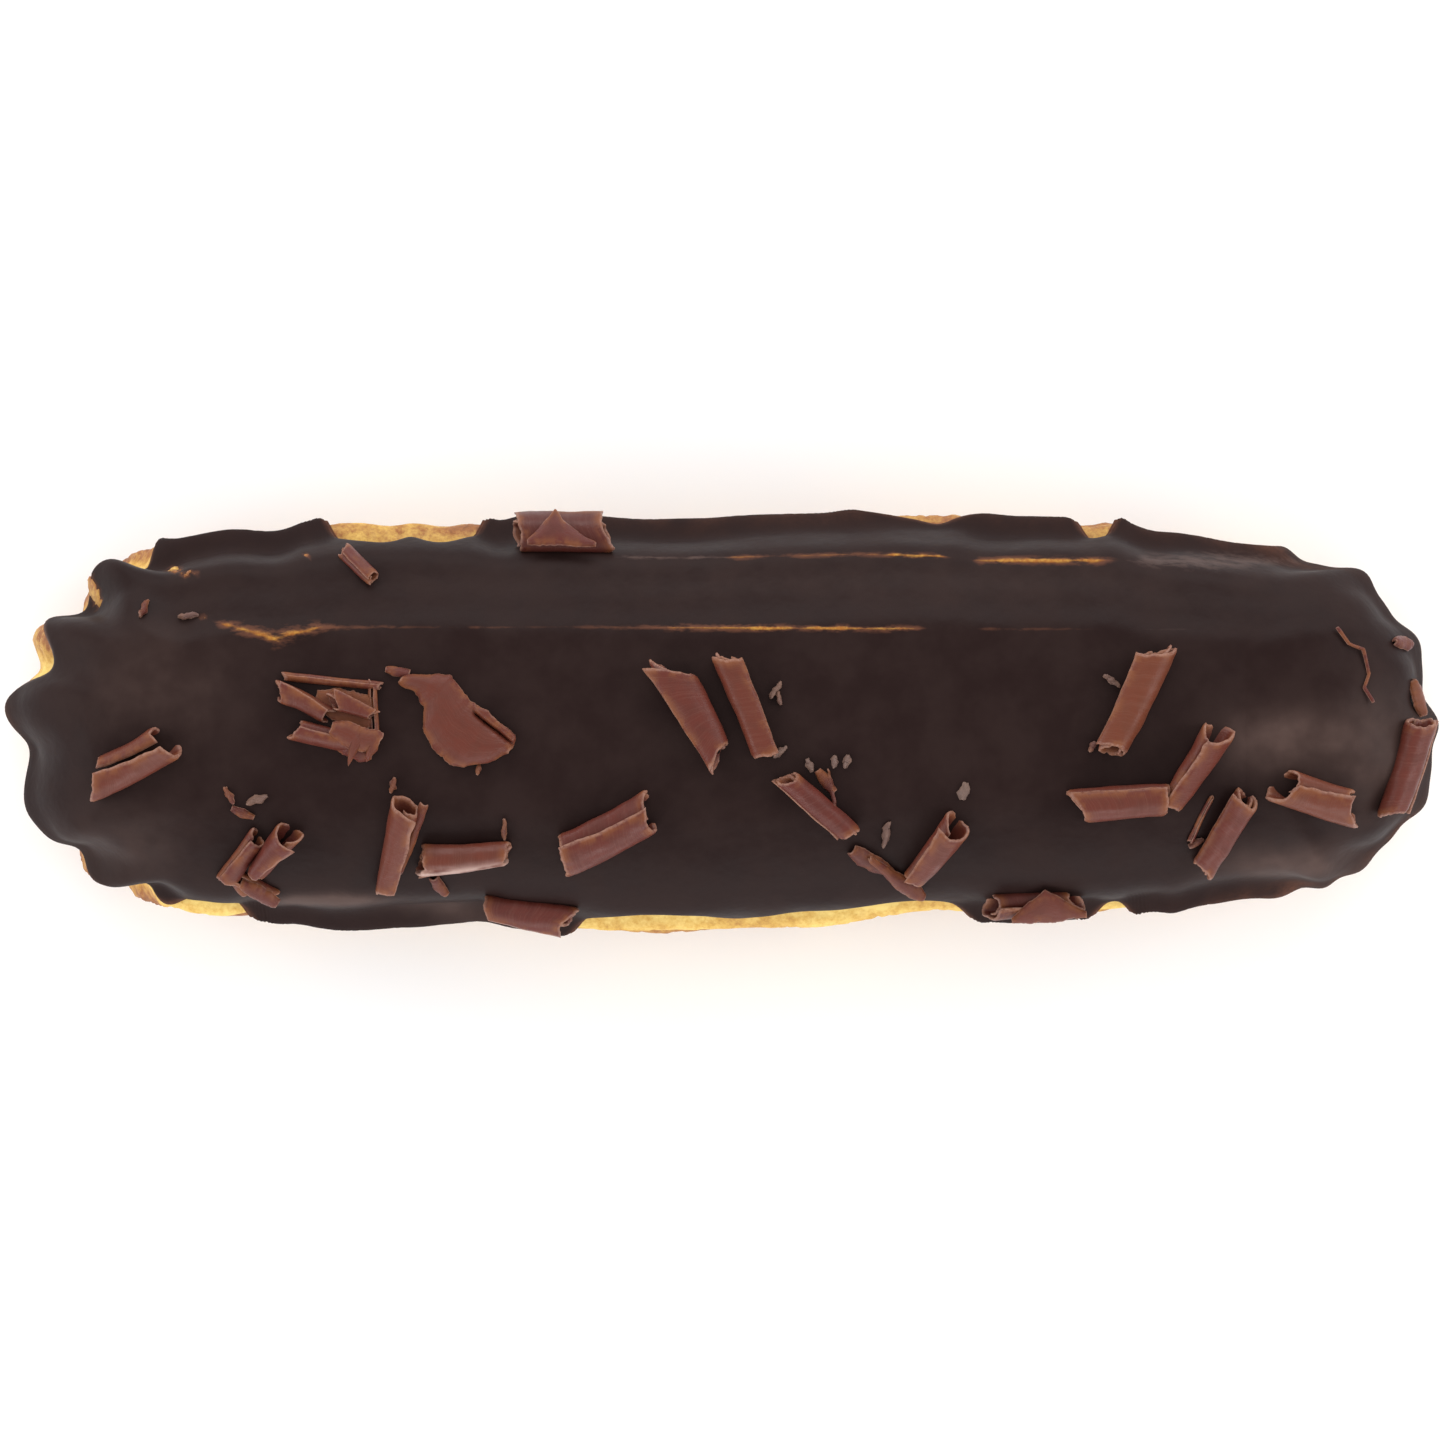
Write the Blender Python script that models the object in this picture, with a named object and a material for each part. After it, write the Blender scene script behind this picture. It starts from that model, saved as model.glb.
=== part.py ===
"""A chocolate eclair: ridged choux body, dark chocolate icing, and milk chocolate curls on top.

Metres, +Z up. The body lies along X and rests on z = 0. It is piped with a star nozzle, so its ridges
run along it and over its ends. A place on the surface is given by a station round the plan outline and
by a drop angle: 0 at the top, 90 degrees at the widest line, and BASE_ANGLE at the edge of the flat base.
"""

import math
import random
from dataclasses import dataclass

import bmesh
import bpy
from mathutils import Matrix, Vector
from mathutils.bvhtree import BVHTree

MM = 0.001
WELD_DISTANCE = 0.001 * MM
SMALLEST_EDGE = 0.01 * MM
CREASE_ANGLE = 50.0
CRUST_COLOUR = (0.70, 0.40, 0.12)
CHOCOLATE_COLOUR = (0.032, 0.02, 0.017)

# The choux body. Places along its spine: x, y, radius
SPINE = (
    (-50.8 * MM, -0.4 * MM, 16.9 * MM),
    (-46.0 * MM, -0.3 * MM, 17.6 * MM),
    (-37.5 * MM, -0.3 * MM, 19.0 * MM),
    (-28.0 * MM, 0.0 * MM, 18.5 * MM),
    (-8.0 * MM, -0.6 * MM, 19.3 * MM),
    (9.0 * MM, 0.0 * MM, 19.4 * MM),
    (22.0 * MM, 0.4 * MM, 18.7 * MM),
    (30.0 * MM, 0.4 * MM, 19.0 * MM),
    (37.0 * MM, 0.2 * MM, 18.4 * MM),
    (43.0 * MM, -0.2 * MM, 17.4 * MM),
    (51.0 * MM, -0.1 * MM, 17.2 * MM),
)
SPINE_START, SPINE_FINISH = SPINE[0][0], SPINE[-1][0]
BODY_HEIGHT = 27.5 * MM
END_HEIGHT = 25.2 * MM
END_DROP_POWER = 4
WIDEST_HEIGHT = 11.0 * MM
BASE_RATIO = 0.71
BASE_ANGLE = 130.0
BASE_FADE_ANGLE = 105.0
DOME_POWER = 2.6
NOZZLE_TEETH = 14
RIDGE_HEIGHT = 0.95 * MM
START_RIDGE_HEIGHT = 1.25 * MM
FINISH_RIDGE_HEIGHT = 0.55 * MM
RIDGE_CHANGE_LENGTH = 14.0 * MM
START_SPLAY = (4.0, -7.0)
START_SPLAY_ANGLES = (5.0, 43.0)
UNEVENNESS = 0.16 * MM
# Waves that make the ridges uneven: radians for each mm along the body, for each degree round it, and a shift
UNEVEN_WAVES = ((0.31, 0.09, 0.0), (0.17, -0.13, 2.0))

# The icing
GAP = 0.3 * MM
TOP_THICKNESS = 0.8 * MM
SIDE_THICKNESS = 0.5 * MM
RIM_ANGLE = 84.0
RIM_ROUNDING = 2.5
THINNING_ANGLES = (40.0, 75.0)
BEAD_THICKNESS = 0.3 * MM
BEAD_ANGLES = (16.0, 3.0)
POOL_FILL = 0.92
FLUTE_FILL = 0.4
FLUTE_ANGLES = (16.0, 30.0)
# The drop angles between which the pool runs out, along the body and where piping started
POOL_END = 55.0
POOL_END_AT_START = 25.0
POOL_LIMIT = 80.0

# Where the icing runs down the side (+) or stops short (-): x, y, reach along the rim, change in angle
RIM_RUNS = (
    (-30.0 * MM, 19.0 * MM, 8.0 * MM, -24.0),
    (-50.0 * MM, 18.0 * MM, 5.0 * MM, 12.0),
    (-58.0 * MM, 16.0 * MM, 3.0 * MM, -16.0),
    (-67.0 * MM, 7.5 * MM, 3.2 * MM, -26.0),
    (-69.0 * MM, 0.5 * MM, 3.0 * MM, 8.0),
    (-62.0 * MM, -14.0 * MM, 3.0 * MM, -8.0),
    (-50.0 * MM, -18.0 * MM, 4.0 * MM, -12.0),
    (-38.0 * MM, -19.0 * MM, 5.0 * MM, 22.0),
    (-28.0 * MM, -19.5 * MM, 5.5 * MM, 18.0),
    (-8.0 * MM, -20.0 * MM, 8.0 * MM, -20.0),
    (10.0 * MM, -20.0 * MM, 9.0 * MM, -20.0),
    (22.0 * MM, -19.5 * MM, 3.5 * MM, -8.0),
    (30.0 * MM, -19.5 * MM, 5.0 * MM, 14.0),
    (37.5 * MM, -18.5 * MM, 2.8 * MM, -14.0),
    (44.0 * MM, -18.3 * MM, 4.0 * MM, 16.0),
    (60.0 * MM, -15.0 * MM, 8.0 * MM, 8.0),
    (69.0 * MM, 0.0 * MM, 12.0 * MM, 12.0),
    (58.0 * MM, 16.0 * MM, 7.0 * MM, 10.0),
    (45.0 * MM, 18.5 * MM, 4.0 * MM, 12.0),
    (37.0 * MM, 19.0 * MM, 1.8 * MM, -18.0),
    (10.0 * MM, 20.0 * MM, 12.0 * MM, 8.0),
    (-13.0 * MM, 20.0 * MM, 8.0 * MM, 10.0),
)

# The surface grid
SIDE_STEPS = 25
START_STEPS = 28
FINISH_STEPS = 18
ROW_ANGLE = 360.0 / NOZZLE_TEETH / 4.0
TOP_ROWS = 8
RIM_ROWS = 5
LOWER_ROWS = 5

# The curls. Rolls: x, y, heading, length, radius, radius at the far end as a share, and turn of the seam,
# in mm and degrees
SHEET = 0.45 * MM
SHEET_SHARE = 0.3
ROLLS = (
    (-57.3, -4.2, 31.0, 8.6, 1.5, 1.0, 60.0),
    (-46.2, -13.7, 64.0, 6.4, 1.05, 0.8, 20.0),
    (-43.1, -12.6, 57.0, 6.0, 1.1, 1.45, 150.0),
    (-45.4, -16.8, -24.0, 4.8, 0.9, 1.0, 90.0),
    (-31.3, -12.0, 78.0, 9.4, 1.05, 1.3, -60.0),
    (-25.1, -13.4, 7.0, 9.0, 1.35, 0.95, 200.0),
    (-10.8, -11.4, 30.0, 10.4, 1.7, 1.0, 75.0),
    (-3.0, 0.1, -58.0, 11.2, 1.65, 1.0, 110.0),
    (2.8, 1.3, -60.0, 10.2, 1.6, 1.0, 240.0),
    (9.5, -8.8, -42.0, 9.2, 1.4, 0.9, 200.0),
    (21.6, -12.6, 60.0, 8.8, 1.35, 1.2, 70.0),
    (41.0, 1.9, 64.0, 10.8, 1.55, 1.0, 30.0),
    (38.7, -7.9, 3.0, 9.3, 1.65, 1.0, 230.0),
    (46.1, -4.3, 52.0, 8.9, 1.6, 0.75, 20.0),
    (49.5, -11.6, 65.0, 8.7, 1.4, 1.1, 130.0),
    (57.9, -7.3, -21.0, 8.4, 1.6, 1.0, 60.0),
    (66.4, -4.6, 66.0, 9.2, 1.45, 1.0, 160.0),
    (-15.5, 18.3, -3.0, 9.8, 1.55, 1.0, 40.0),
    (-18.2, -18.6, -2.0, 9.0, 1.45, 1.0, 20.0),
    (30.8, -17.6, -5.0, 9.2, 1.5, 1.0, 150.0),
    (-35.4, 15.1, -52.0, 5.0, 0.75, 1.0, 60.0),
    (-38.0, 4.0, -5.0, 9.4, 0.6, 1.0, 80.0),
    (-40.0, 1.8, -29.0, 5.4, 1.15, 1.0, 60.0),
    (-34.1, -0.3, 94.0, 7.2, 0.7, 1.0, 100.0),
    (-39.2, -1.3, -10.0, 5.6, 1.1, 1.0, 240.0),
)
ROLL_TURNS = 1.2
ROLL_POINTS = 10
ROLL_PITCH = 1.5
ROLL_SKEW = 0.25
ROLL_SINK = 0.45

# Flakes: x, y, heading, length, width at the start, width at the end and rise of the middle,
# in mm and degrees
FLAKES = (
    (-26.0, 0.9, -38.0, 12.0, 2.2, 7.2, 1.0),
    (-36.6, 0.4, 25.0, 6.0, 3.2, 4.4, 0.9),
    (-35.8, -3.2, -38.0, 4.2, 2.6, 2.0, 0.7),
    (15.6, -13.9, -44.0, 7.4, 1.1, 1.4, 0.5),
    (17.6, -15.2, -57.0, 6.8, 1.5, 1.1, 0.6),
    (62.6, 4.4, -66.0, 8.0, 0.8, 1.0, 0.3),
    (67.0, 7.2, -30.0, 3.6, 1.6, 2.2, 0.5),
    (67.6, 2.6, -50.0, 4.0, 1.4, 2.6, 0.6),
)
FLAKE_STEPS = (5, 4)
FLAKE_RAGGEDNESS = 0.22 * MM
FLAKE_TIP = 0.35
FLAKE_TIP_START = 0.8
FLAKE_TILT = 0.4
FLAKE_SINK = 0.45 * MM
FLAKE_SEED = 7

# Where a piece feels for the icing under it, as shares of its length and width, and how near it may come to
# the icing's inner face
FOOTING_ALONG = (-0.4, -0.2, 0.0, 0.2, 0.4)
FOOTING_ACROSS = (-0.8, 0.0, 0.8)
FOOTING_SHARE = 0.6
DEEPEST = 0.25 * MM


@dataclass
class Station:
    """A place on the plan outline: its point on the spine, its outward direction and its radius."""

    spine: Vector
    out: Vector
    radius: float

    def edge(self):
        return self.spine + self.out * self.radius

    def x_at(self, drop):
        """How far along the body the surface lies at a drop angle."""
        return self.spine.x + self.out.x * self.radius * math.sin(math.radians(min(drop, 90.0)))


def smoothstep(value, low, high):
    """0 below low, 1 above high, and smooth between them."""
    share = min(1.0, max(0.0, (value - low) / (high - low)))
    return share * share * (3.0 - 2.0 * share)


def mix(a, b, share):
    return a + (b - a) * share


def station_at(x, angle):
    """The station whose spine point is at x and whose outward direction is at that plan angle."""
    y, radius = SPINE[0][1:]
    for (x0, _, _), (x1, y1, radius1) in zip(SPINE, SPINE[1:]):
        share = smoothstep(x, x0, x1)
        y, radius = mix(y, y1, share), mix(radius, radius1, share)
    return Station(Vector((x, y, 0.0)), Vector((math.cos(angle), math.sin(angle), 0.0)), radius)


def outline_stations():
    """Stations all round the plan outline, counter-clockwise seen from above, from the -Y side's start."""
    along = [mix(SPINE_START, SPINE_FINISH, i / SIDE_STEPS) for i in range(SIDE_STEPS)]
    stations = [station_at(x, -math.pi / 2.0) for x in along]
    for i in range(FINISH_STEPS):
        stations.append(station_at(SPINE_FINISH, math.pi * (i / FINISH_STEPS - 0.5)))
    back = [mix(SPINE_FINISH, SPINE_START, i / SIDE_STEPS) for i in range(SIDE_STEPS)]
    stations += [station_at(x, math.pi / 2.0) for x in back]
    for i in range(START_STEPS):
        stations.append(station_at(SPINE_START, math.pi * (i / START_STEPS + 0.5)))
    return stations


def section(station, drop):
    """Distance from the spine and height of the plain body, without ridges, at a drop angle in degrees."""
    end_share = (abs(station.spine.x) / SPINE_FINISH) ** END_DROP_POWER
    top = mix(BODY_HEIGHT, END_HEIGHT, end_share)
    if drop <= 90.0:
        reach = math.sin(math.radians(drop))
        rise = max(0.0, 1.0 - reach**DOME_POWER) ** (1.0 / DOME_POWER)
        return station.radius * reach, WIDEST_HEIGHT + (top - WIDEST_HEIGHT) * rise
    turn = math.radians(90.0 * (drop - 90.0) / (BASE_ANGLE - 90.0))
    reach = BASE_RATIO + (1.0 - BASE_RATIO) * math.cos(turn)
    return station.radius * reach, WIDEST_HEIGHT * (1.0 - math.sin(turn))


def surface_point(station, drop, offset):
    """A point that lies offset outside the plain body."""
    step = 0.5
    low_drop, high_drop = max(0.0, drop - step), min(BASE_ANGLE, drop + step)
    r0, z0 = section(station, low_drop)
    r1, z1 = section(station, high_drop)
    tangent = Vector((r1 - r0, z1 - z0)).normalized()
    r, z = section(station, drop)
    if drop > 0.0:
        r += -tangent.y * offset
    z += (tangent.x if drop > 0.0 else 1.0) * offset
    return station.spine + station.out * r + Vector((0.0, 0.0, z))


def ridge_angle(station, drop):
    """The angle that is constant along a ridge: ridges run along the body and straight over its ends."""
    lateral = station.out.y
    if drop <= 90.0:
        angle = math.degrees(math.asin(math.sin(math.radians(drop)) * lateral))
    else:
        angle = math.degrees(math.asin(lateral)) + (drop - 90.0) * lateral * abs(lateral)
    at_start = smoothstep(-station.x_at(drop), -SPINE_START, -SPINE_START + RIDGE_CHANGE_LENGTH)
    splay = mix(*START_SPLAY, smoothstep(-angle, *START_SPLAY_ANGLES))
    return angle - at_start * splay


def ridge_height(station, drop):
    """The ridges stand tall where piping started and sink where it finished."""
    x = station.x_at(drop)
    start = smoothstep(-x, -SPINE_START - RIDGE_CHANGE_LENGTH, -SPINE_START + 0.5 * RIDGE_CHANGE_LENGTH)
    finish = smoothstep(x, SPINE_FINISH - RIDGE_CHANGE_LENGTH, SPINE_FINISH + 0.5 * RIDGE_CHANGE_LENGTH)
    return mix(mix(RIDGE_HEIGHT, START_RIDGE_HEIGHT, start), FINISH_RIDGE_HEIGHT, finish)


def choux_offset(station, drop):
    """The height of the choux above the plain body: uneven ridges that fade out at the flat base."""
    fade = 1.0 - smoothstep(drop, BASE_FADE_ANGLE, BASE_ANGLE)
    angle = ridge_angle(station, drop)
    wave = math.cos(math.radians(angle * NOZZLE_TEETH))
    along = station.x_at(drop) / MM
    wobble = sum(math.sin(a * along + b * angle + shift) for a, b, shift in UNEVEN_WAVES)
    return fade * (ridge_height(station, drop) * wave + UNEVENNESS * wobble)


def rim_angle(station):
    """The drop angle at which the icing ends."""
    edge = station.edge()
    angle = RIM_ANGLE
    for x, y, reach, change in RIM_RUNS:
        distance = (edge - Vector((x, y, 0.0))).length
        angle += change * math.exp(-((distance / reach) ** 2))
    return angle


def pool_share(station, drop):
    """How far the icing fills the flutes: nearly full over the top, less on the +Y side, none low down."""
    share = mix(POOL_FILL, FLUTE_FILL, smoothstep(ridge_angle(station, drop), *FLUTE_ANGLES))
    at_start = smoothstep(-station.x_at(drop), -SPINE_START, -SPINE_START + RIDGE_CHANGE_LENGTH)
    return share * (1.0 - smoothstep(drop, mix(POOL_END, POOL_END_AT_START, at_start), POOL_LIMIT))


def icing_thickness(drop, rim):
    """Thinner down the side, with a bead just above the rim."""
    thickness = mix(TOP_THICKNESS, SIDE_THICKNESS, smoothstep(drop, *THINNING_ANGLES))
    return thickness + BEAD_THICKNESS * smoothstep(drop, rim - BEAD_ANGLES[0], rim - BEAD_ANGLES[1])


def icing_offset(station, drop, rim):
    """The height of the icing's outer face. It pools over the top and follows the ridges lower down."""
    fill = ridge_height(station, drop) - choux_offset(station, drop)
    level = choux_offset(station, drop) + fill * pool_share(station, drop)
    return level + GAP + icing_thickness(drop, rim)


def covered_rows(rim):
    """The drop angles of the rows under the icing, the same on the body and on both faces of the icing."""
    rows = [i * ROW_ANGLE for i in range(TOP_ROWS + 1)]
    last = rows[-1]
    return rows + [mix(last, rim, (i + 1) / RIM_ROWS) for i in range(RIM_ROWS)]


def choux_column(station, clearance=0.0):
    """One cut through the choux body, from its top to the edge of its base."""
    rim = rim_angle(station)
    rows = covered_rows(rim)
    rows += [mix(rim, BASE_ANGLE, (i + 1) / LOWER_ROWS) for i in range(LOWER_ROWS)]
    return [surface_point(station, drop, choux_offset(station, drop) + clearance) for drop in rows]


def icing_column(station):
    """One cut through the icing: down its outer face, round its rim and back up its inner face."""
    rim = rim_angle(station)
    rows = covered_rows(rim)
    outer = [surface_point(station, drop, icing_offset(station, drop, rim)) for drop in rows]
    inner = [surface_point(station, drop, choux_offset(station, drop) + GAP) for drop in reversed(rows)]
    tip_drop = rim + RIM_ROUNDING
    tip_offset = choux_offset(station, tip_drop) + GAP + 0.5 * icing_thickness(rim, rim)
    return outer + [surface_point(station, tip_drop, tip_offset)] + inner


def mesh_object(name, mesh_builder, material):
    """A smooth-shaded object from a bmesh, with its creases kept sharp."""
    mesh = bpy.data.meshes.new(name)
    mesh_builder.to_mesh(mesh)
    mesh_builder.free()
    mesh.shade_smooth()
    mesh.set_sharp_from_angle(angle=math.radians(CREASE_ANGLE))
    mesh.materials.append(material)
    made = bpy.data.objects.new(name, mesh)
    bpy.context.scene.collection.objects.link(made)
    return made


def skin(columns, close_base):
    """A closed surface through the columns. Points that meet on the spine are welded into one."""
    made = bmesh.new()
    grid = [[made.verts.new(point) for point in column] for column in columns]
    for here, after in zip(grid, grid[1:] + grid[:1]):
        for row in range(len(here) - 1):
            made.faces.new((here[row], here[row + 1], after[row + 1], after[row]))
    if close_base:
        made.faces.new([column[-1] for column in reversed(grid)])
    bmesh.ops.remove_doubles(made, verts=made.verts, dist=WELD_DISTANCE)
    bmesh.ops.triangulate(made, faces=made.faces)
    bmesh.ops.recalc_face_normals(made, faces=made.faces)
    return made


def plain_material(name, colour, roughness):
    material = bpy.data.materials.new(name)
    material.use_nodes = True
    shader = material.node_tree.nodes["Principled BSDF"]
    shader.inputs["Base Color"].default_value = (*colour, 1.0)
    shader.inputs["Roughness"].default_value = roughness
    shader.inputs["Metallic"].default_value = 0.0
    return material


def solid_sheet(made, upper, lower):
    """Closes a sheet from the grids of points of its upper and lower faces."""
    top = [[made.verts.new(p) for p in row] for row in upper]
    bottom = [[made.verts.new(p) for p in row] for row in lower]
    last_row, last_column = len(top) - 1, len(top[0]) - 1
    for i in range(last_row):
        for j in range(last_column):
            made.faces.new((top[i][j], top[i + 1][j], top[i + 1][j + 1], top[i][j + 1]))
            made.faces.new((bottom[i][j], bottom[i][j + 1], bottom[i + 1][j + 1], bottom[i + 1][j]))
    for i in range(last_row):
        for j, (a, b) in ((0, (i, i + 1)), (last_column, (i + 1, i))):
            made.faces.new((top[b][j], top[a][j], bottom[a][j], bottom[b][j]))
    for j in range(last_column):
        for i, (a, b) in ((0, (j + 1, j)), (last_row, (j, j + 1))):
            made.faces.new((top[i][b], top[i][a], bottom[i][a], bottom[i][b]))
    bmesh.ops.recalc_face_normals(made, faces=made.faces)
    return made


def roll(length, radius, far_share, seam):
    """A sheet rolled about local X, lying on z = 0, with slanted ends and a free edge at the seam."""
    sheet = min(SHEET, SHEET_SHARE * radius)
    tightening = ROLL_PITCH * sheet
    lowest = radius - tightening * ((270.0 - seam) % 360.0) / 360.0
    outer, inner = [], []
    for i in range(ROLL_POINTS):
        turned = ROLL_TURNS * i / (ROLL_POINTS - 1)
        angle = math.radians(seam) + 2.0 * math.pi * turned
        slant = ROLL_SKEW * radius * math.sin(angle)
        direction = Vector((0.0, math.cos(angle), math.sin(angle)))
        spiral = radius - tightening * turned
        for points, reach in ((outer, spiral), (inner, spiral - sheet)):
            near = direction * reach + Vector((-0.5 * length - slant, 0.0, lowest))
            far = direction * reach * far_share + Vector((0.5 * length - slant, 0.0, lowest * far_share))
            points.append([near, far])
    return solid_sheet(bmesh.new(), outer, inner)


def flake(length, start_width, end_width, rise, chance):
    """A shard that arches over local X, with an uneven edge and a flat underside below z = 0."""
    upper, lower = [], []
    for i in range(FLAKE_STEPS[0]):
        along = i / (FLAKE_STEPS[0] - 1)
        tip = 1.0 - FLAKE_TIP * smoothstep(along, FLAKE_TIP_START, 1.0)
        width = mix(start_width, end_width, smoothstep(along, 0.0, FLAKE_TIP_START)) * tip
        top_row, bottom_row = [], []
        for j in range(FLAKE_STEPS[1]):
            across = 2.0 * j / (FLAKE_STEPS[1] - 1) - 1.0
            ragged_x = chance.uniform(-1.0, 1.0) * FLAKE_RAGGEDNESS
            ragged_y = chance.uniform(-1.0, 1.0) * FLAKE_RAGGEDNESS
            point = Vector(((along - 0.5) * length + ragged_x, 0.5 * across * width + ragged_y, 0.0))
            height = 0.5 * SHEET + rise * (1.0 - across * across) + FLAKE_TILT * rise * along
            top_row.append(point + Vector((0.0, 0.0, height)))
            bottom_row.append(point - Vector((0.0, 0.0, FLAKE_SINK)))
        upper.append(top_row)
        lower.append(bottom_row)
    return solid_sheet(bmesh.new(), upper, lower)


def resting_place(icing_tree, x, y, heading, length, width):
    """The matrix that lays a piece on the icing under it, with its local X along the heading."""
    ahead = Vector((math.cos(heading), math.sin(heading), 0.0))
    aside = Vector((-ahead.y, ahead.x, 0.0))
    down = Vector((0.0, 0.0, -1.0))
    points, normals = [], []
    for along in FOOTING_ALONG:
        for across in FOOTING_ACROSS:
            above = Vector((x, y, 2.0 * BODY_HEIGHT)) + ahead * (along * length) + aside * (across * width)
            point, normal, _, _ = icing_tree.ray_cast(above, down)
            if point is not None:
                points.append(point)
                normals.append(normal)
    normal = sum(normals, Vector()).normalized()
    middle = sum(points, Vector()) / len(points)
    highest = max((point - middle).dot(normal) for point in points)
    along = (ahead - normal * ahead.dot(normal)).normalized()
    turn = Matrix((along, normal.cross(along), normal)).transposed().to_4x4()
    return Matrix.Translation(middle + normal * (highest * FOOTING_SHARE)) @ turn


def curls(icing_tree, material):
    """Every roll and flake, each its own object, laid on the icing and sunk a little into it."""
    made = []
    for i, (x, y, heading, length, radius, far_share, seam) in enumerate(ROLLS):
        place = resting_place(icing_tree, x * MM, y * MM, math.radians(heading), length * MM, radius * MM)
        shape = roll(length * MM, radius * MM, far_share, seam)
        shape.transform(place @ Matrix.Translation((0.0, 0.0, -ROLL_SINK * radius * MM)))
        made.append(mesh_object(f"roll_{i}", shape, material))
    chance = random.Random(FLAKE_SEED)
    for i, (x, y, heading, length, start_width, end_width, rise) in enumerate(FLAKES):
        width = 0.5 * (start_width + end_width)
        half = 0.5 * width
        place = resting_place(icing_tree, x * MM, y * MM, math.radians(heading), length * MM, half * MM)
        shape = flake(length * MM, start_width * MM, end_width * MM, rise * MM, chance)
        shape.transform(place)
        made.append(mesh_object(f"flake_{i}", shape, material))
    return made


def shells(made):
    """The separate closed surfaces of a mesh, each as a set of faces."""
    left = set(made.faces)
    found = []
    while left:
        shell, edge = set(), [left.pop()]
        while edge:
            face = edge.pop()
            shell.add(face)
            near = {other for side in face.edges for other in side.link_faces}
            edge += near & left
            left -= near
        found.append(shell)
    return found


def keep_largest_shell(mesh):
    """Fills the hollows that a union sealed and drops loose scraps and edges too short to see."""
    made = bmesh.new()
    made.from_mesh(mesh)
    kept = max(shells(made), key=len)
    bmesh.ops.delete(made, geom=[face for face in made.faces if face not in kept], context="FACES")
    bmesh.ops.dissolve_degenerate(made, dist=SMALLEST_EDGE, edges=made.edges)
    bmesh.ops.triangulate(made, faces=made.faces)
    made.to_mesh(mesh)
    made.free()


def trim(pieces, core):
    """Cuts away what a piece would push through the icing towards the choux, then removes the core."""
    core.hide_render = True
    for piece in pieces:
        cut = piece.modifiers.new("trim", "BOOLEAN")
        cut.operation = "DIFFERENCE"
        cut.object = core
        bpy.context.view_layer.objects.active = piece
        bpy.ops.object.modifier_apply(modifier=cut.name)
    bpy.data.objects.remove(core)


def fuse(target, pieces):
    """Joins the pieces to the target with one Boolean union, then removes them."""
    together = bpy.data.collections.new("pieces_to_fuse")
    for piece in pieces:
        bpy.context.scene.collection.objects.unlink(piece)
        together.objects.link(piece)
    union = target.modifiers.new("fuse", "BOOLEAN")
    union.operation = "UNION"
    union.operand_type = "COLLECTION"
    union.collection = together
    bpy.context.view_layer.objects.active = target
    bpy.ops.object.modifier_apply(modifier=union.name)
    for piece in pieces:
        bpy.data.objects.remove(piece)
    bpy.data.collections.remove(together)
    keep_largest_shell(target.data)


def main():
    for old in list(bpy.data.objects):
        bpy.data.objects.remove(old)
    crust = plain_material("baked_choux", CRUST_COLOUR, 0.7)
    dark = plain_material("dark_chocolate", CHOCOLATE_COLOUR, 0.35)
    stations = outline_stations()
    mesh_object("choux_body", skin([choux_column(s) for s in stations], True), crust)
    icing = mesh_object("chocolate_icing", skin([icing_column(s) for s in stations], False), dark)
    vertices = [vertex.co for vertex in icing.data.vertices]
    icing_tree = BVHTree.FromPolygons(vertices, [face.vertices for face in icing.data.polygons])
    pieces = curls(icing_tree, dark)
    core = skin([choux_column(s, GAP + DEEPEST) for s in stations], True)
    trim(pieces, mesh_object("core", core, dark))
    fuse(icing, pieces)


main()
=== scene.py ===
"""Looks of the chocolate eclair: ridged choux, poured dark icing with drips, and milk chocolate curls.

Metres, +Z up, seen from straight above. A place on the body is given by a station round the plan outline and
by a drop angle: 0 at the top, 90 degrees at the widest line, and BASE_ANGLE at the edge of the flat base.
"""

import math
from dataclasses import dataclass

import bmesh
import bpy
import numpy as np
from mathutils import Matrix, Vector, noise
from mathutils.bvhtree import BVHTree


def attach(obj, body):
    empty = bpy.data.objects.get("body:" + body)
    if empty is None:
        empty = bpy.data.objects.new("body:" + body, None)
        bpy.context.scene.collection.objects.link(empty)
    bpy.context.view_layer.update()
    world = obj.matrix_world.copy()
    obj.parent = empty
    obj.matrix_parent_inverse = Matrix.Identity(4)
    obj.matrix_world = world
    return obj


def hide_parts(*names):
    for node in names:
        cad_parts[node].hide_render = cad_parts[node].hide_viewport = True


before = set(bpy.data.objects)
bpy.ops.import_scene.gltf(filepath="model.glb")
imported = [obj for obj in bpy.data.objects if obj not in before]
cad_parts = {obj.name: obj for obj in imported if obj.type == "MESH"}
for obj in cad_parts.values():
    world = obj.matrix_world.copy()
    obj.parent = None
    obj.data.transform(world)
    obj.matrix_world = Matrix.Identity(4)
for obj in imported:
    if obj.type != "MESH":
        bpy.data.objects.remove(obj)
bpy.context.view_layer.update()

MM = 0.001
WELD_DISTANCE = 0.001 * MM

# The choux body, as in the solids. Places along its spine: x, y, radius
SPINE = np.array((
    (-50.8, -0.4, 16.9),
    (-46, -0.3, 17.6),
    (-37.5, -0.3, 19),
    (-28, 0, 18.5),
    (-8, -0.6, 19.3),
    (9, 0, 19.4),
    (22, 0.4, 18.7),
    (30, 0.4, 19),
    (37, 0.2, 18.4),
    (43, -0.2, 17.4),
    (51, -0.1, 17.2),
)) * MM
SPINE_START, SPINE_FINISH = SPINE[0, 0], SPINE[-1, 0]
BODY_HEIGHT = 27.5 * MM
END_HEIGHT = 25.2 * MM
END_DROP_POWER = 4
WIDEST_HEIGHT = 11.0 * MM
BASE_RATIO = 0.71
BASE_ANGLE = 130.0
BASE_FADE_ANGLE = 105.0
DOME_POWER = 2.6
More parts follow.
